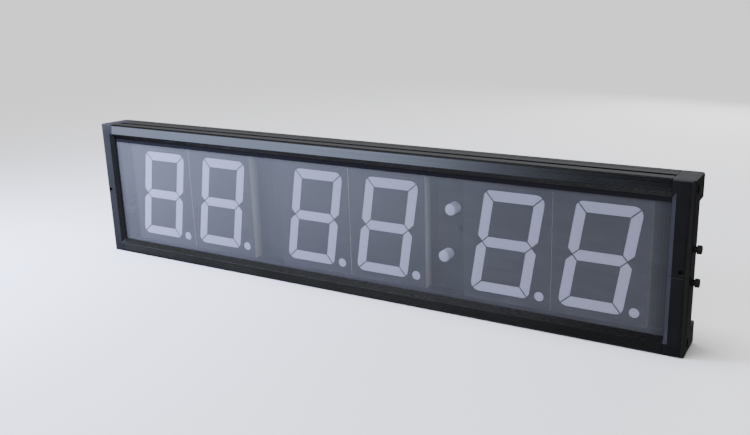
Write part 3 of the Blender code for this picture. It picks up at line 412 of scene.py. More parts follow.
def rounded_rectangle(low, high, radius):
    left, right = low[0] + radius, high[0] - radius
    bottom, top = low[1] + radius, high[1] - radius
    outline = []
    for quarter, centre in enumerate(((right, top), (left, top), (left, bottom), (right, bottom))):
        outline += arc(centre, radius, 90 * quarter, 90 * quarter + 90, 6)
    return outline


def from_bmesh(bm, turn=Matrix.Identity(4)):
    """A bmesh's mesh, with its points welded and its faces pointing out."""
    bmesh.ops.remove_doubles(bm, verts=bm.verts, dist=WELD)
    bmesh.ops.recalc_face_normals(bm, faces=bm.faces)
    mesh = bpy.data.meshes.new("shape")
    bm.to_mesh(mesh)
    bm.free()
    mesh.transform(turn)
    return mesh


def evaluated(holder):
    """The mesh that an object makes, after which the object is removed."""
    bpy.context.scene.collection.objects.link(holder)
    graph = bpy.context.evaluated_depsgraph_get()
    mesh = bpy.data.meshes.new_from_object(holder.evaluated_get(graph))
    bpy.data.objects.remove(holder)
    return mesh


def plate(outlines, thickness, rounding, facing=FACING_FRONT, location=(0, 0, 0)):
    """A flat drawing with its holes, extruded both ways, with every edge along it rounded."""
    curve = bpy.data.curves.new("plate", "CURVE")
    curve.dimensions = "2D"
    curve.fill_mode = "BOTH"
    curve.extrude = thickness / 2 - rounding
    curve.bevel_depth = rounding
    curve.bevel_resolution = 1
    curve.offset = -rounding
    for outline in outlines:
        spline = curve.splines.new("POLY")
        spline.points.add(len(outline) - 1)
        spline.use_cyclic_u = True
        for point, (across, up) in zip(spline.points, outline):
            point.co = (across, up, 0.0, 1.0)
    bm = bmesh.new()
    bm.from_mesh(evaluated(bpy.data.objects.new("plate", curve)))
    return from_bmesh(bm, Matrix.Translation(location) @ facing.to_4x4())


def turned(profile, location=(0, 0, 0), turn=Matrix.Identity(4), sides=64):
    """A profile of (radius, place along X) turned about X."""
    bm = bmesh.new()
    rings = []
    for across, up in circle((0.0, 0.0), 1.0, sides):
        rings.append([bm.verts.new((along, radius * across, radius * up)) for radius, along in profile])
    for ring, following in zip(rings, rings[1:] + rings[:1]):
        for first, second, third, fourth in zip(ring, ring[1:], following[1:], following):
            bm.faces.new((first, second, third, fourth))
    return from_bmesh(bm, Matrix.Translation(location) @ turn)


def block(corner, opposite):
    """A box between any two opposite corners, for cutting and joining."""
    low = Vector(map(min, corner, opposite))
    high = Vector(map(max, corner, opposite))
    bm = bmesh.new()
    bmesh.ops.create_cube(bm, size=1.0)
    bmesh.ops.scale(bm, vec=high - low, verts=bm.verts)
    return from_bmesh(bm, Matrix.Translation((low + high) / 2))


def rod(radius, start, end, sides=48):
    """A cylinder between two points, for cutting and joining."""
    start, end = Vector(start), Vector(end)
    bm = bmesh.new()
    bmesh.ops.create_cone(
        bm, cap_ends=True, segments=sides, radius1=radius, radius2=radius, depth=(end - start).length
    )
    turn = (end - start).to_track_quat("Z", "Y").to_matrix().to_4x4()
    return from_bmesh(bm, Matrix.Translation((start + end) / 2) @ turn)


def solid(mesh, *changes):
    """A mesh changed by others in turn, each given as (operation, mesh)."""
    holder = bpy.data.objects.new("solid", mesh)
    helpers = []
    for operation, other in changes:
        helper = bpy.data.objects.new("helper", other)
        helper.hide_render = True
        bpy.context.scene.collection.objects.link(helper)
        helpers.append(helper)
        change = holder.modifiers.new("change", "BOOLEAN")
        change.operation = operation
        change.solver = "EXACT"
        change.object = helper
    made = evaluated(holder)
    for helper in helpers:
        bpy.data.objects.remove(helper)
    return made


def piece(node, mesh, location=(0, 0, 0)):
    """The finished form of a CAD node, riding on the node's body."""
    obj = bpy.data.objects.new(f"{node}_finish", mesh)
    obj.location = location
    if not mesh.materials or mesh.materials[0] is None:
        mesh.materials.clear()
        mesh.materials.append(LOOKS[slot_of(node)])
    mesh.shade_smooth()
    mesh.set_sharp_from_angle(angle=SMOOTH_BELOW)
    even = obj.modifiers.new("flat_faces_shade_flat", "WEIGHTED_NORMAL")
    even.keep_sharp = True
    even.weight = 100
    bpy.context.scene.collection.objects.link(obj)
    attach(obj, BODY_OF[node])
    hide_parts(node)
    return obj


# ---------------------------------------------------------------- the case's sizes

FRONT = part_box("top_rail")[0].y
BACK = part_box("top_rail")[1].y
DEPTH = BACK - FRONT
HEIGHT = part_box("top_rail")[1].z
HALF_WIDTH = -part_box("left_upper_cap")[0].x
RAIL_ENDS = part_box("top_rail")[0].x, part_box("top_rail")[1].x
GAP = 0.0003  # clearance between pieces that touch
TINY = 0.001  # how far a cutter runs past the face it cuts


def deep(distance):
    """The Y that lies this far behind the case's front."""
    return FRONT + distance


def from_edge(level, inset):
    """The Z that lies this far in from the case's top or bottom."""
    return HEIGHT - inset if level == UPPER else inset


def from_end(side, distance):
    """The X that lies this far in from the case's left or right end."""
    return side * (HALF_WIDTH - distance)


# ---------------------------------------------------------------- rails

RIM = HALF_WIDTH - RAIL_ENDS[1] - GAP
RAIL_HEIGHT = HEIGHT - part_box("top_rail")[0].z
FACE_HEIGHT = 0.0115  # front face of a rail, before the bevel
FACE_LEAN = 0.0007  # how far the front face leans back at its outer edge
EDGE_ROUND = 0.0025
LIP_INSET = 0.0168
LIP_DEEP = 0.0040
LENS_GROOVE = (0.0047, 0.0079)
FLOOR_INSET = 0.0187
SLOT_DEEP = 0.0160
SLOT_MOUTH = 0.0052
SLOT_WIDTH = 0.0092
SLOT_LIP = 0.0018
SLOT_HEIGHT = 0.0046
GROOVE_TOP = 0.0120
BOARD_GROOVE = (0.0209, 0.0231)
BOARD_GROOVE_TOP = 0.0165
SCREW_CHANNEL = (0.0126, 0.0124)  # deep, inset
SCREW_CHANNEL_RADIUS = 0.0019
REBATE_INSET = 0.012
REBATE_DEEP = 0.0364
RAIL_WALL = 0.0016
VEE_DEEP = 0.0305  # the fine groove along the outer face, behind the slot
VEE_HALF = 0.0007
REAR_ROUND = 0.001
CHAMBER_INSET = 0.0022
FRONT_CHAMBER = (0.0108, 0.0102)  # its far corner: deep, inset
MIDDLE_CHAMBER = (0.0162, 0.0192)  # from deep, to deep
REAR_CHAMBER_DEEP = 0.0247
LIP_ROUND = 0.0003  # rounding of the extrusion's sharper corners
BURR = 0.00018  # rounding of sawn and pressed edges


def rail_section():
    """A rail's (deep, inset) outline, with its slots, grooves and chambers."""
    mouth = (SLOT_DEEP - SLOT_MOUTH / 2, SLOT_DEEP + SLOT_MOUTH / 2)
    slot = (SLOT_DEEP - SLOT_WIDTH / 2, SLOT_DEEP + SLOT_WIDTH / 2)
    floor = SLOT_LIP + SLOT_HEIGHT
    soft = LIP_ROUND
    outline = arc((soft, FACE_HEIGHT - soft), soft, 130, 180, 4)
    outline += arc((FACE_LEAN + EDGE_ROUND, EDGE_ROUND), EDGE_ROUND, 180, 270, 14)
    outline += arc((mouth[0] - soft, soft), soft, 270, 360, 4)
    outline += [(mouth[0], SLOT_LIP), (slot[0], SLOT_LIP), (slot[0], floor), (slot[1], floor)]
    outline += [(slot[1], SLOT_LIP), (mouth[1], SLOT_LIP)]
    outline += arc((mouth[1] + soft, soft), soft, 180, 270, 4)
    outline += [(VEE_DEEP - VEE_HALF, 0.0), (VEE_DEEP, VEE_HALF), (VEE_DEEP + VEE_HALF, 0.0)]
    outline += arc((DEPTH - REAR_ROUND, REAR_ROUND), REAR_ROUND, 270, 360, 8)
    outline += [(DEPTH, REBATE_INSET), (REBATE_DEEP, REBATE_INSET), (REBATE_DEEP, RAIL_HEIGHT)]
    outline += [(BOARD_GROOVE[1], RAIL_HEIGHT), (BOARD_GROOVE[1], BOARD_GROOVE_TOP)]
    outline += [(BOARD_GROOVE[0], BOARD_GROOVE_TOP), (BOARD_GROOVE[0], FLOOR_INSET)]
    outline += [(LENS_GROOVE[1], FLOOR_INSET), (LENS_GROOVE[1], GROOVE_TOP)]
    outline += [(LENS_GROOVE[0], GROOVE_TOP), (LENS_GROOVE[0], LIP_INSET - soft)]
    outline += arc((LENS_GROOVE[0] - soft, LIP_INSET - soft), soft, 0, 90, 4)
    outline += arc((LIP_DEEP + soft / 2, LIP_INSET - soft / 2), soft / 2, 90, 140, 3)
    rear_chamber = (REBATE_DEEP - RAIL_WALL, RAIL_HEIGHT - RAIL_WALL)
    chambers = [
        circle(SCREW_CHANNEL, SCREW_CHANNEL_RADIUS),
        rectangle((CHAMBER_INSET, CHAMBER_INSET), FRONT_CHAMBER),
        rectangle((MIDDLE_CHAMBER[0], floor + RAIL_WALL), (MIDDLE_CHAMBER[1], LIP_INSET)),
        rectangle((REAR_CHAMBER_DEEP, CHAMBER_INSET), rear_chamber),
    ]
    return [outline, *chambers]


def add_rails():
    for node, level in (("top_rail", UPPER), ("bottom_rail", LOWER)):
        outlines = [
            [(deep(back), from_edge(level, inset)) for back, inset in outline]
            for outline in rail_section()
        ]
        piece(node, plate(outlines, RAIL_ENDS[1] - RAIL_ENDS[0], BURR, FACING_RIGHT))


# ---------------------------------------------------------------- end caps

CAP_WALL = 0.0025
CAP_BEVEL = 0.0040  # width of the bevel from the cap's front to the lens
CORNER_ROUND = 0.006
SEAM_ROUND = 0.0004
RECESS_DEEP = 0.0238  # the side steps in behind this depth
RECESS = 0.006
CAP_BACK_DEEP = 0.0379
BEVEL_HOLLOW = 0.0130  # how far the cavity behind the bevel reaches in from the end
STEP_HOLLOW_DEEP = 0.0354  # the cavity behind the recessed side ends here
LUG_HOLLOW_DEEP = 0.0375
POCKET_SIZE = (0.0074, 0.0110)
POCKET_DEPTH = 0.0032
POCKET_SHIFT = 0.0022  # the pocket's middle lies this much nearer the edge than its screw
PAD_THICK = 0.0022
PAD_MARGIN = 0.0025
PAD_END = (0.0180, 0.0182)  # deep, inset
BOSS_RADIUS = 0.0036
CAP_SCREW_HOLE = 0.0019
LATCH = (0.0070, 0.079)  # in from the end, up
LATCH_SIZE = (0.0050, 0.0040)
LATCH_ROUND = 0.0006
TONGUE_HALF = 0.0035
TONGUE_THICK = 0.0016
TONGUE_RISE = 0.003  # above the latch window's middle
TONGUE_ROOT = (0.006, 0.002)  # from and to, below the seam
BUTTON_HOLE = 0.0031
PEG_RADIUS = 0.0024
PEG_BORE = 0.0013
INLET_HOLE = 0.0044
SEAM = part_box("right_upper_cap")[0].z - GAP / 2


def cap_body(side, level, length):
    """Three crossed extrusions, whose common volume has every outer edge rounded."""
    soft = SEAM_ROUND
    beside = arc((FACE_LEAN + EDGE_ROUND, EDGE_ROUND), EDGE_ROUND, 180, 270, 14)
    beside += arc((DEPTH - REAR_ROUND, REAR_ROUND), REAR_ROUND, 270, 360, 6)
    beside += [(DEPTH, RAIL_HEIGHT), (CAP_BACK_DEEP, RAIL_HEIGHT)]
    beside += arc((CAP_BACK_DEEP - soft, length - soft), soft, 0, 90, 4)
    beside += arc((soft, length - soft), soft, 90, 180, 4) + [(0.0, FACE_HEIGHT - GAP)]
    inner, far = RIM + TINY, DEPTH + TINY
    above = [(inner, -TINY), (CORNER_ROUND, -TINY), (CORNER_ROUND, 0.0)]
    above += arc((CORNER_ROUND, CORNER_ROUND), CORNER_ROUND, 270, 180, 20)
    above += [(-TINY, CORNER_ROUND), (-TINY, DEPTH - REAR_ROUND)]
    above += arc((REAR_ROUND, DEPTH - REAR_ROUND), REAR_ROUND, 180, 90, 6)
    above += [(REAR_ROUND, far), (inner, far)]
    ahead = [(inner, -TINY), (EDGE_ROUND, -TINY), (EDGE_ROUND, 0.0)]
    ahead += arc((EDGE_ROUND, EDGE_ROUND), EDGE_ROUND, 270, 180, 12)
    ahead += [(-TINY, EDGE_ROUND), (-TINY, length + TINY), (inner, length + TINY)]
    profile = [(deep(back), from_edge(level, inset)) for back, inset in beside]
    body = plate([profile], RIM, 0.0, FACING_RIGHT, (from_end(side, RIM / 2), 0.0, 0.0))
    plan = plate([[(from_end(side, end), deep(back)) for end, back in above]], 3 * HEIGHT, 0.0, FACING_UP)
    front = plate([[(from_end(side, end), from_edge(level, inset)) for end, inset in ahead]], 3 * DEPTH, 0.0)
    return solid(body, ("INTERSECT", plan), ("INTERSECT", front))


def window_cutter():
    """The frame's opening, bevelled from the front plane down to the lens lip."""
    depth = LIP_DEEP + TINY
    half_width = HALF_WIDTH - RIM
    half_height = HEIGHT / 2 - LIP_INSET
    flare_x = CAP_BEVEL * depth / LIP_DEEP
    flare_z = (LIP_INSET - FACE_HEIGHT) * depth / LIP_DEEP
    bm = bmesh.new()
    bmesh.ops.create_cube(bm, size=2.0)
    bmesh.ops.scale(bm, vec=(half_width, depth / 2, half_height), verts=bm.verts)
    for vert in bm.verts:
        if vert.co.y < 0:
            vert.co.x += math.copysign(flare_x, vert.co.x)
            vert.co.z += math.copysign(flare_z, vert.co.z)
    return from_bmesh(bm, Matrix.Translation((0.0, deep((LIP_DEEP - TINY) / 2), HEIGHT / 2)))


def end_block(side, level, ends, deeps, insets):
    """A box from its ranges in from the end, back from the front and in from the edge."""
    corners = [(from_end(side, ends[i]), deep(deeps[i]), from_edge(level, insets[i])) for i in (0, 1)]
    return block(*corners)


def cap_hollows(side, level, length):
    """The cavities that leave the cap with thin walls, all open towards the rails."""
    inner = RIM + TINY
    step_wall = RECESS_DEEP - CAP_WALL
    recessed = RECESS + CAP_WALL
    lug_wall = RAIL_HEIGHT - CAP_WALL
    spans = (
        ((CAP_WALL, inner), (LENS_GROOVE[0], step_wall), (CAP_WALL, length + TINY)),
        ((CAP_WALL, BEVEL_HOLLOW), (CAP_WALL, LENS_GROOVE[0] + TINY), (CAP_WALL, length + TINY)),
        ((recessed, inner), (step_wall - TINY, STEP_HOLLOW_DEEP), (CAP_WALL, length + TINY)),
        ((CAP_WALL, inner), (step_wall - TINY, LUG_HOLLOW_DEEP), (CAP_WALL, lug_wall)),
    )
    return [("DIFFERENCE", end_block(side, level, *span)) for span in spans]


def pocket_outline(level):
    """A slot with round ends, tall along Z, about the cap screw."""
    half = POCKET_SIZE[0] / 2
    straight = POCKET_SIZE[1] / 2 - half
    across, up = deep(SCREW_CHANNEL[0]), from_edge(level, SCREW_CHANNEL[1] - POCKET_SHIFT)
    top = arc((across, up + straight), half, 0, 180, 16)
    return top + arc((across, up - straight), half, 180, 360, 16)


def screw_seat(side, level):
    """The cap screw's pad, boss, pocket and hole."""
    centre = (deep(SCREW_CHANNEL[0]), from_edge(level, SCREW_CHANNEL[1]))
    pad = end_block(
        side,
        level,
        (CAP_WALL - TINY, POCKET_DEPTH + PAD_THICK),
        (LENS_GROOVE[0] + PAD_MARGIN, PAD_END[0]),
        (CAP_WALL - TINY, PAD_END[1]),
    )
    surface = (from_end(side, 0.0), 0.0, 0.0)
    boss = rod(BOSS_RADIUS, (from_end(side, POCKET_DEPTH + TINY), *centre), (from_end(side, RIM), *centre))
    pocket = plate([pocket_outline(level)], 2 * POCKET_DEPTH, 0.0, FACING_RIGHT, surface)
    hole = rod(CAP_SCREW_HOLE, (surface[0], *centre), (from_end(side, RIM + TINY), *centre))
    return [("UNION", pad), ("UNION", boss), ("DIFFERENCE", pocket), ("DIFFERENCE", hole)]


def button_openings(level):
    """The right cap's hole for a button and, in its upper half, the peg that holds the switches' board."""
    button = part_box("upper_button_cap" if level == UPPER else "lower_button_cap")
    middle = (button[0] + button[1]) / 2
    ends = [(from_end(RIGHT, end), middle.y, middle.z) for end in (-TINY, CAP_WALL + TINY)]
    changes = [("DIFFERENCE", rod(BUTTON_HOLE, *ends))]
    if level == UPPER:
        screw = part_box("button_board_screw")
        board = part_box("button_board")
        axis = (screw[0] + screw[1]) / 2
        root, tip, inside, end = (
            (x, axis.y, axis.z)
            for x in (from_end(RIGHT, CAP_WALL - TINY), board[1].x + GAP, board[0].x, screw[1].x + GAP)
        )
        changes += [("UNION", rod(PEG_RADIUS, root, tip)), ("DIFFERENCE", rod(PEG_BORE, inside, end))]
    return changes


def inlet_opening():
    """The power inlet's hole through the left cap's recessed side."""
    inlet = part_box("power_inlet")
    middle = (inlet[0] + inlet[1]) / 2
    deeps = (RECESS - TINY, RECESS + CAP_WALL + TINY)
    return [("DIFFERENCE", rod(INLET_HOLE, *((from_end(LEFT, end), middle.y, middle.z) for end in deeps)))]


def latch(side):
    """The window in the upper half's front that the lower half's tongue snaps behind."""
    across, up = (size / 2 for size in LATCH_SIZE)
    x, z = from_end(side, LATCH[0]), LATCH[1]
    outline = rounded_rectangle((x - across, z - up), (x + across, z + up), LATCH_ROUND)
    return [("DIFFERENCE", plate([outline], 2 * (CAP_WALL + TINY), 0.0, location=(0.0, FRONT, 0.0)))]


def tongue(side, seam):
    """The tongue that rises from the lower half behind the upper half's front wall."""
    behind = CAP_WALL + GAP
    near, far = (from_end(side, LATCH[0] + reach) for reach in (-TONGUE_HALF, TONGUE_HALF))
    foot, neck = (seam - drop for drop in TONGUE_ROOT)
    blade = block((near, deep(behind), foot), (far, deep(behind + TONGUE_THICK), LATCH[1] + TONGUE_RISE))
    root = block((near, deep(CAP_WALL - TINY), foot), (far, deep(behind + TINY), neck))
    return [("UNION", blade), ("UNION", root)]


def cap_mesh(side, level):
    """One half of an end cap, from its edge of the case to the seam."""
    seam = SEAM + level * GAP / 2
    length = HEIGHT - seam if level == UPPER else seam
    insets = (RAIL_HEIGHT, length + TINY)
    recess = end_block(side, level, (-TINY, RECESS), (RECESS_DEEP, DEPTH + TINY), insets)
    changes = [("DIFFERENCE", recess), ("DIFFERENCE", window_cutter()), *cap_hollows(side, level, length)]
    changes += screw_seat(side, level)
    changes += latch(side) if level == UPPER else tongue(side, seam)
    if side == RIGHT:
        changes += button_openings(level)
    elif level == LOWER:
        changes += inlet_opening()
    return solid(cap_body(side, level, length), *changes)


def add_caps():
    for end, side in (("left", LEFT), ("right", RIGHT)):
        for edge, level in (("upper", UPPER), ("lower", LOWER)):
            piece(f"{end}_{edge}_cap", cap_mesh(side, level))


# ---------------------------------------------------------------- lens, digits and colon

LENS_CORNER = 0.0012
LENS_EDGE = 0.00025
HOUSING_WALL = 0.0016
HOUSING_CORNER = 0.0008
HOUSING_EDGE = 0.00015
DIFFUSER_BASE = 0.0012
DIFFUSER_EDGE = 0.0001
DIGIT_WIDTH = 0.0620
DIGIT_HEIGHT = 0.1030
SEGMENT = 0.0104
SEGMENT_SPLIT = 0.0011
DIGIT_CORNER = 0.0065
ACUTE_CORNER = 0.0100  # of the corners that leaning makes acute
SLANT = 0.157  # across, for each metre up
POINT = (0.0111, 0.0045, 0.0047)  # across, up, radius
CLEARANCE = 0.00025  # between a segment and its opening


def add_lens():
    low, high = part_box("front_lens")
    outline = rounded_rectangle((low.x, low.z), (high.x, high.z), LENS_CORNER)
    thick = high.y - low.y
    piece("front_lens", plate([outline], thick, LENS_EDGE, location=(0.0, low.y + thick / 2, 0.0)))


def corner_segment(radius):
    """The upper left segment upright, rounded at the digit's corner."""
    middle = DIGIT_HEIGHT / 2
    split = SEGMENT_SPLIT / math.sqrt(2)
    lean = math.degrees(SEGMENT_SPLIT / 2 / radius)
    outline = arc((radius, DIGIT_HEIGHT - radius), radius, 135 + lean, 180, 8)
    outline += [(0.0, middle + SEGMENT / 2 + split), (SEGMENT / 2, middle + split)]
    return outline + [(SEGMENT, middle + SEGMENT / 2 + split), (SEGMENT, DIGIT_HEIGHT - SEGMENT - split)]


def segment_outlines():
    """The seven segments upright; the corners that leaning makes acute are the rounder ones."""
    width, height, thick = DIGIT_WIDTH, DIGIT_HEIGHT, SEGMENT
    middle = height / 2
    split = SEGMENT_SPLIT / math.sqrt(2)
    blunt, acute = (math.degrees(SEGMENT_SPLIT / 2 / radius) for radius in (DIGIT_CORNER, ACUTE_CORNER))
    top = arc((DIGIT_CORNER, height - DIGIT_CORNER), DIGIT_CORNER, 135 - blunt, 90, 8)
    top += arc((width - ACUTE_CORNER, height - ACUTE_CORNER), ACUTE_CORNER, 90, 45 + acute, 8)
    top += [(width - thick - split, height - thick), (thick + split, height - thick)]
    upper_left = corner_segment(DIGIT_CORNER)
    upper_right = [(width - x, y) for x, y in corner_segment(ACUTE_CORNER)]
    upper = [top, upper_left, upper_right]
    lower = [[(width - x, height - y) for x, y in outline] for outline in upper]
    bar = [(thick / 2 + split, middle), (thick + split, middle + thick / 2)]
    bar += [(width - thick - split, middle + thick / 2), (width - thick / 2 - split, middle)]
    bar += [(width - thick - split, middle - thick / 2), (thick + split, middle - thick / 2)]
    return [*upper, *lower, bar]


def digit_outlines(low, high):
    """Seven leaning segments and the decimal point, about a module's middle."""
    lean = SLANT * DIGIT_HEIGHT
    left = (high.x - low.x - DIGIT_WIDTH - lean) / 2
    bottom = (high.z - low.z - DIGIT_HEIGHT) / 2
    leaning = [[(left + x + SLANT * y, bottom + y) for x, y in outline] for outline in segment_outlines()]
    return leaning + [circle((left + DIGIT_WIDTH + POINT[0], bottom + POINT[1]), POINT[2])]


def housing_mesh(size, shapes):
    """An open-backed tray whose face has the segments cut through."""
    wall = HOUSING_WALL
    outer = rounded_rectangle((0.0, 0.0), (size.x, size.z), HOUSING_CORNER)
    inner = rectangle((wall, wall), (size.x - wall, size.z - wall))
    face = plate([outer, *shapes], wall, HOUSING_EDGE, location=(0.0, wall / 2, 0.0))
    start = wall / 2
    sides = plate([outer, inner], size.y - start, HOUSING_EDGE, location=(0.0, (size.y + start) / 2, 0.0))
    return solid(face, ("UNION", sides))


def diffuser_mesh(size, shapes):
    """The segments standing on one thin sheet, their tips just behind the housing's face."""
    margin = HOUSING_WALL + GAP
    sheet = rectangle((margin, margin), (size.x - margin, size.z - margin))
    middle = (0.0, margin + DIFFUSER_BASE / 2, 0.0)
    back = plate([sheet], DIFFUSER_BASE, DIFFUSER_EDGE, location=middle)
    raised = margin - HOUSING_EDGE + DIFFUSER_BASE / 2
    middle = (0.0, HOUSING_EDGE + raised / 2, 0.0)
    return solid(back, ("UNION", plate(shapes, raised, CLEARANCE + DIFFUSER_EDGE, location=middle)))


def add_digits():
    low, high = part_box("digit_1_housing")
    shapes = digit_outlines(low, high)
    housing = housing_mesh(high - low, shapes)
    diffuser = diffuser_mesh(high - low, shapes)
    for number in range(1, 7):
        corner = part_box(f"digit_{number}_housing")[0]
        piece(f"digit_{number}_housing", housing, corner)
        piece(f"digit_{number}_diffuser", diffuser, corner)


LAMP_ROUND = 0.0009
LAMP_CROWN = 0.0004  # how far the lamp's face falls away towards its rim


def add_colon():
    """Two round lamps with softly domed faces."""
    for node in ("colon_upper_lamp", "colon_lower_lamp"):
        low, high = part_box(node)
        radius = (high.x - low.x) / 2
        length = high.y - low.y
        rim = (radius - LAMP_ROUND, length - LAMP_ROUND - LAMP_CROWN / 2)
        profile = [(0.0, length)]
        profile += [(radius * t, length - LAMP_CROWN * t * t) for t in (0.3, 0.6)]
        for step in range(5):
            angle = 0.2 + 0.3 * step
            profile.append((rim[0] + LAMP_ROUND * math.sin(angle), rim[1] + LAMP_ROUND * math.cos(angle)))
        profile += [(radius, 0.0), (0.0, 0.0)]
        middle = ((low.x + high.x) / 2, high.y, (low.z + high.z) / 2)
        piece(node, turned(profile, middle, Matrix.Rotation(math.radians(-90), 4, "Z")))


# ---------------------------------------------------------------- buttons, cover, inlet and screws

BUTTON_STAND = 0.0024  # neck visible between the side and the button's head
BUTTON_NECK = 0.0027
BUTTON_STEM = 0.0017
BUTTON_COLLAR = 0.0012  # the neck reaches this far behind the cap's wall
BUTTON_ROUND = 0.0007
BUTTON_DISH = 0.0003
BUTTON_RIM = (0.0020, 0.0014)  # the raised rim starts and turns this far inside the head's edge
NECK_ROUND = 0.0004
NECK_CHAMFER = 0.0003


def add_buttons():
    """Each button slides along X: a dished head with a turned rim on a narrower neck."""
    for which in ("upper", "lower"):
        low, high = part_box(f"{which}_button_cap")
        middle = (low + high) / 2
        radius = (high.y - low.y) / 2
        tip, tail = high.x - HALF_WIDTH, low.x - HALF_WIDTH
        shoulder = -CAP_WALL - BUTTON_COLLAR
        soft, dish, stand = BUTTON_ROUND, BUTTON_DISH, BUTTON_STAND
        profile = [(0.0, tip - dish), (radius - BUTTON_RIM[0], tip - dish)]
        profile += arc((radius - BUTTON_RIM[1], tip - dish / 2), dish / 2, 180, 90, 3)
        profile += arc((radius - soft, tip - soft), soft, 90, 0, 8)
        profile += arc((radius - NECK_ROUND, stand + NECK_ROUND), NECK_ROUND, 0, -90, 4)
        profile += [(BUTTON_NECK + NECK_CHAMFER, stand), (BUTTON_NECK, stand - NECK_CHAMFER)]
        profile += [(BUTTON_NECK, shoulder), (BUTTON_STEM, shoulder), (BUTTON_STEM, tail), (0.0, tail)]
        piece(f"{which}_button_cap", turned(profile, (HALF_WIDTH, middle.y, middle.z)))


COVER_THICK = 0.0012
COVER_CORNER = 0.0010
COVER_SCREW_HOLE = 0.0017
KEYHOLE_X = 0.255
KEYHOLE_HEIGHT = 0.100
KEYHOLE_RADIUS = 0.0046
KEYHOLE_SLOT = 0.0024
KEYHOLE_RISE = 0.0100
STUD_RADIUS = 0.0026
STUD_REACH = 0.006  # from the controller board's corners to its studs
SOUND_HOLES = (0.078, 0.0055, 0.0012)  # right of the board's middle, ring radius, hole radius


def keyhole(x):
    """A hanging hole: a round hole with a narrower slot above it."""
    lean = math.degrees(math.asin(KEYHOLE_SLOT / KEYHOLE_RADIUS))
    hole = arc((x, KEYHOLE_HEIGHT), KEYHOLE_RADIUS, 90 + lean, 450 - lean, 48)
    return arc((x, KEYHOLE_HEIGHT + KEYHOLE_RISE), KEYHOLE_SLOT, 0, 180, 16) + hole


def add_cover():
    """The rear sheet with its keyholes, screw holes and sound holes, and the controller board's studs."""
    low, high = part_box("rear_cover")
    holes = [keyhole(side * KEYHOLE_X) for side in (LEFT, RIGHT)]
    for node in (f"{end}_{edge}_cover_screw" for end in ("left", "right") for edge in ("upper", "lower")):
        corner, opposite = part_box(node)
        centre = ((corner.x + opposite.x) / 2, (corner.z + opposite.z) / 2)
        holes.append(circle(centre, COVER_SCREW_HOLE, 32))
    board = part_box("controller_board")
    middle = (board[0] + board[1]) / 2
    across, ring, radius = SOUND_HOLES
    sound = (middle.x + across, middle.z)
    holes += [circle(centre, radius, 24) for centre in (sound, *circle(sound, ring, 6))]
    outline = rounded_rectangle((low.x, low.z), (high.x, high.z), COVER_CORNER)
    back = high.y - COVER_THICK / 2
    sheet = plate([outline, *holes], COVER_THICK, BURR, location=(0.0, back, 0.0))
    studs = [
        ("UNION", rod(STUD_RADIUS, (x, board[1].y + GAP, z), (x, back, z)))
        for x in (board[0].x + STUD_REACH, board[1].x - STUD_REACH)
        for z in (board[0].z + STUD_REACH, board[1].z - STUD_REACH)
    ]
    piece("rear_cover", solid(sheet, *studs))


INLET_RADIUS = 0.0041
INLET_BORE = 0.0031
INLET_FLANGE = 0.0055
INLET_LENGTH = 0.0125
INLET_LIP = 0.0014
INLET_BORE_DEPTH = 0.0095
INLET_PIN = 0.0010
PIN_TIP = (0.0002, 0.0008)  # behind the case's side: the pin's nose and its shoulder
INLET_ROUND = 0.0005
INLET_CHAMFER = (0.0003, 0.0004)  # at the bore's mouth, at the back end
INLET_THREAD = (0.0030, 0.0008, 0.0003)  # first ridge, pitch, depth
INLET_TURNS = 10


def add_inlet():
    """The low-voltage inlet: a flanged, threaded socket with a centre pin."""
    low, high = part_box("power_inlet")
    middle = (low + high) / 2
    radius, lip, soft, pin = INLET_RADIUS, INLET_LIP, INLET_ROUND, INLET_PIN
    mouth, back = INLET_CHAMFER
    start, pitch, depth = INLET_THREAD
    nose = pin * 0.6
    profile = [(0.0, -PIN_TIP[0]), (nose, -PIN_TIP[0]), (pin, -PIN_TIP[1])]
    profile += [(pin, lip - INLET_BORE_DEPTH), (INLET_BORE, lip - INLET_BORE_DEPTH)]
    profile += [(INLET_BORE, lip - mouth), (INLET_BORE + mouth, lip)]
    profile += arc((INLET_FLANGE - soft, lip - soft), soft, 90, 0, 6)
    profile += [(INLET_FLANGE, 0.0), (radius, 0.0)]
    for turn in range(INLET_TURNS):
        along = -start - turn * pitch
        profile += [(radius, along), (radius - depth, along - pitch / 2)]
    profile += [(radius, -INLET_LENGTH + back), (radius - back, -INLET_LENGTH), (0.0, -INLET_LENGTH)]
    place_in_case = (low.x + lip, middle.y, middle.z)
    piece("power_inlet", turned(profile, place_in_case, Matrix.Rotation(math.radians(180), 4, "Z")))


CAP_SCREW = (0.0030, 0.0017, 0.0015, 0.0280)  # head radius and height, shank radius and length
COVER_SCREW = (0.0026, 0.0014, 0.0013, 0.0065)
SCREW_PITCH = 0.0005
HEAD_CHAMFER = 0.0002
PLAIN_SHANK = 0.0012  # from the head to the first thread
SCREW_POINT = 0.0014  # from the last thread to the end


def screw_mesh(head, height, shank, length):
    """A cross-head pan screw along +X with a ribbed shank, its head's underside at the origin."""
    brim, root, tip = height * 0.35, shank * 0.86, shank * 0.4
    profile = [(0.0, height)]
    for step in range(1, 6):
        angle = step / 4
        profile.append((head * math.sin(angle), brim + (height - brim) * math.cos(angle)))
    profile += [(head, brim), (head, HEAD_CHAMFER), (head - HEAD_CHAMFER, 0.0), (shank, 0.0)]
    along = -PLAIN_SHANK
    while along > SCREW_POINT - length:
        profile += [(shank, along), (root, along - SCREW_PITCH / 2)]
        along -= SCREW_PITCH
    profile += [(shank, along), (tip, -length), (0.0, -length)]
    arm, half = head * 0.60, head * 0.15
    bottom, top = height * 0.40, height + TINY
    cross = [
        ("DIFFERENCE", block((bottom, -arm, -half), (top, arm, half))),
        ("DIFFERENCE", block((bottom, -half, -arm), (top, half, arm))),
    ]
    return solid(turned(profile, sides=40), *cross)


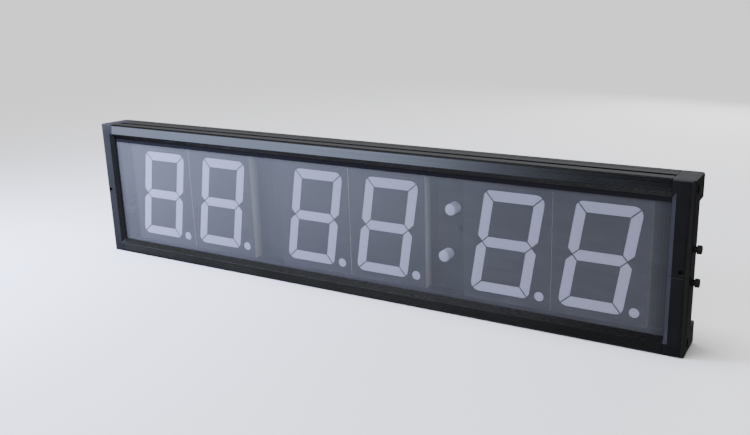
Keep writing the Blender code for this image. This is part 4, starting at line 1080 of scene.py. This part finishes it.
def add_screws():
    """Cap screws along X and cover screws along Y, each where its CAD node is."""
    long_screw = screw_mesh(*CAP_SCREW)
    short_screw = screw_mesh(*COVER_SCREW)
    for end, side in (("left", LEFT), ("right", RIGHT)):
        for edge in ("upper", "lower"):
            node = f"{end}_{edge}_cap_screw"
            low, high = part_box(node)
            middle = (low + high) / 2
            seat = high.x - CAP_SCREW[1] if side == RIGHT else low.x + CAP_SCREW[1]
            screw = piece(node, long_screw, (seat, middle.y, middle.z))
            screw.rotation_euler.z = math.radians(90 - 90 * side)
            node = f"{end}_{edge}_cover_screw"
            low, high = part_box(node)
            middle = (low + high) / 2
            screw = piece(node, short_screw, (middle.x, high.y - COVER_SCREW[1], middle.z))
            screw.rotation_euler.z = math.radians(90)


# ---------------------------------------------------------------- camera, floor and light

CAMERA_PLACE = (0.47422, -0.67715, 0.30783)
CAMERA_TURN = (75.243, 0.264, 27.129)  # degrees
CAMERA_LENS = 38.33  # mm, on a 36 mm sensor
CAMERA_SHIFT = (-0.1130, -0.0148)


def add_camera():
    """The photograph's viewpoint, found by fitting a camera to the case's outline."""
    data = bpy.data.cameras.new("camera")
    data.sensor_width = 36.0
    data.lens = CAMERA_LENS
    data.shift_x, data.shift_y = CAMERA_SHIFT
    camera = bpy.data.objects.new("camera", data)
    camera.location = CAMERA_PLACE
    camera.rotation_euler = [math.radians(angle) for angle in CAMERA_TURN]
    bpy.context.scene.collection.objects.link(camera)
    bpy.context.scene.camera = camera


FLOOR_REACH = 150.0
FLOOR_DROP = 0.0001  # keeps the floor clear of the base


def add_floor():
    """A pale matt floor that the object stands on."""
    bm = bmesh.new()
    bmesh.ops.create_grid(bm, x_segments=8, y_segments=8, size=FLOOR_REACH)
    mesh = bpy.data.meshes.new("floor")
    bm.to_mesh(mesh)
    bm.free()
    floor = bpy.data.objects.new("floor", mesh)
    floor.location.z = CAD_BOX[0].z - FLOOR_DROP
    look, tree, shader = principled("pale_floor", Roughness=0.9, Specular_IOR_Level=0.0)
    clouds = noise(tree, place(tree), 1.2, 3.0)
    tree.links.new(between(tree, clouds, (0.91, 0.91, 0.91), (0.93, 0.93, 0.93)), shader.inputs["Base Color"])
    mesh.materials.append(look)
    floor.visible_glossy = False
    floor.visible_diffuse = False
    bpy.context.scene.collection.objects.link(floor)


def aim(lamp, direction):
    """Point a lamp along a direction and keep it out of reflections."""
    lamp.rotation_mode = "QUATERNION"
    lamp.rotation_quaternion = Vector(direction).to_track_quat("-Z", "Y")
    lamp.visible_glossy = False
    bpy.context.scene.collection.objects.link(lamp)


def area_light(name, where, towards, size, power, colour):
    data = bpy.data.lights.new(name, "AREA")
    data.size = size
    data.energy = power
    data.color = colour
    lamp = bpy.data.objects.new(name, data)
    lamp.location = where
    lamp.visible_camera = False
    aim(lamp, Vector(towards) - Vector(where))


def add_sun(name, direction, strength, spread):
    data = bpy.data.lights.new(name, "SUN")
    data.energy = strength
    data.angle = spread
    aim(bpy.data.objects.new(name, data), direction)


# The world's glow, by radians to the left of straight ahead of the display and by the sine of the elevation.
GLOW_ACROSS = (0.35, 0.62)
GLOW_FADE = (1.5, 1.15)
GLOW_UP = (-0.38, -0.12)
GLOW_TOP = (0.40, 0.12)
GLOW_UNDER = 0.040
GLOW_OVER = 0.08
GLOW_STRENGTH = 2.6
BEHIND_STRENGTH = 0.32
ROOM_UP = (-0.40, -0.05)
ROOM_STRENGTH = (0.10, 0.04)


def add_world():
    """A dim room with a broad bluish glow low on the left, which the front reflects."""
    world = bpy.data.worlds.new("studio")
    bpy.context.scene.world = world
    world.use_nodes = True
    tree = world.node_tree
    direction = add(tree, "ShaderNodeTexCoord").outputs["Generated"]
    x, y, z = add(tree, "ShaderNodeSeparateXYZ", {0: direction}).outputs
    left, ahead = (math_node(tree, "MULTIPLY", part, -1.0) for part in (x, y))
    leftward = math_node(tree, "ARCTAN2", left, ahead)
    rise, fade = (grade(tree, leftward, *span) for span in (GLOW_ACROSS, GLOW_FADE))
    across = math_node(tree, "MULTIPLY", rise, fade)
    below = grade(tree, z, *GLOW_UP, GLOW_UNDER, 1.0)
    band = math_node(tree, "MULTIPLY", below, grade(tree, z, *GLOW_TOP, GLOW_OVER, 1.0))
    glow = math_node(tree, "MULTIPLY", across, band)
    behind = math_node(tree, "MULTIPLY", grade(tree, y, 0.2, 0.7), grade(tree, z, 0.02, 0.2))
    front = math_node(tree, "MULTIPLY", glow, GLOW_STRENGTH)
    back = math_node(tree, "MULTIPLY", behind, BEHIND_STRENGTH)
    strength = math_node(tree, "ADD", front, back)
    strength = math_node(tree, "ADD", strength, grade(tree, z, *ROOM_UP, *ROOM_STRENGTH))
    background = tree.nodes["Background"]
    tree.links.new(between(tree, glow, (0.95, 0.97, 1.0), (0.80, 0.90, 1.18)), background.inputs["Color"])
    tree.links.new(strength, background.inputs["Strength"])


def add_lights():
    """A bluish key close to the left end, soft light from the front, side and back, and a wide sun."""
    area_light("key", (-0.62, -0.36, 0.42), (-0.2, 0.0, 0.08), 0.25, 12.5, (0.72, 0.81, 1.34))
    area_light("front", (0.5, -1.3, 0.8), (0.1, 0.0, 0.08), 0.8, 10.0, (1.03, 0.99, 0.94))
    area_light("side", (1.7, -0.3, 0.6), (0.35, 0.0, 0.08), 0.8, 4.0, (1.0, 1.0, 1.0))
    area_light("back", (0.3, 1.5, 0.7), (0.0, 0.0, 0.08), 1.0, 10.0, (1.0, 1.0, 1.0))
    add_sun("top", (0.25, 0.08, -0.95), 3.6, 0.5)
    add_world()


add_camera()
add_floor()
add_lights()
wear_looks()
add_rails()
add_caps()
add_lens()
add_digits()
add_colon()
add_buttons()
add_cover()
add_inlet()
add_screws()
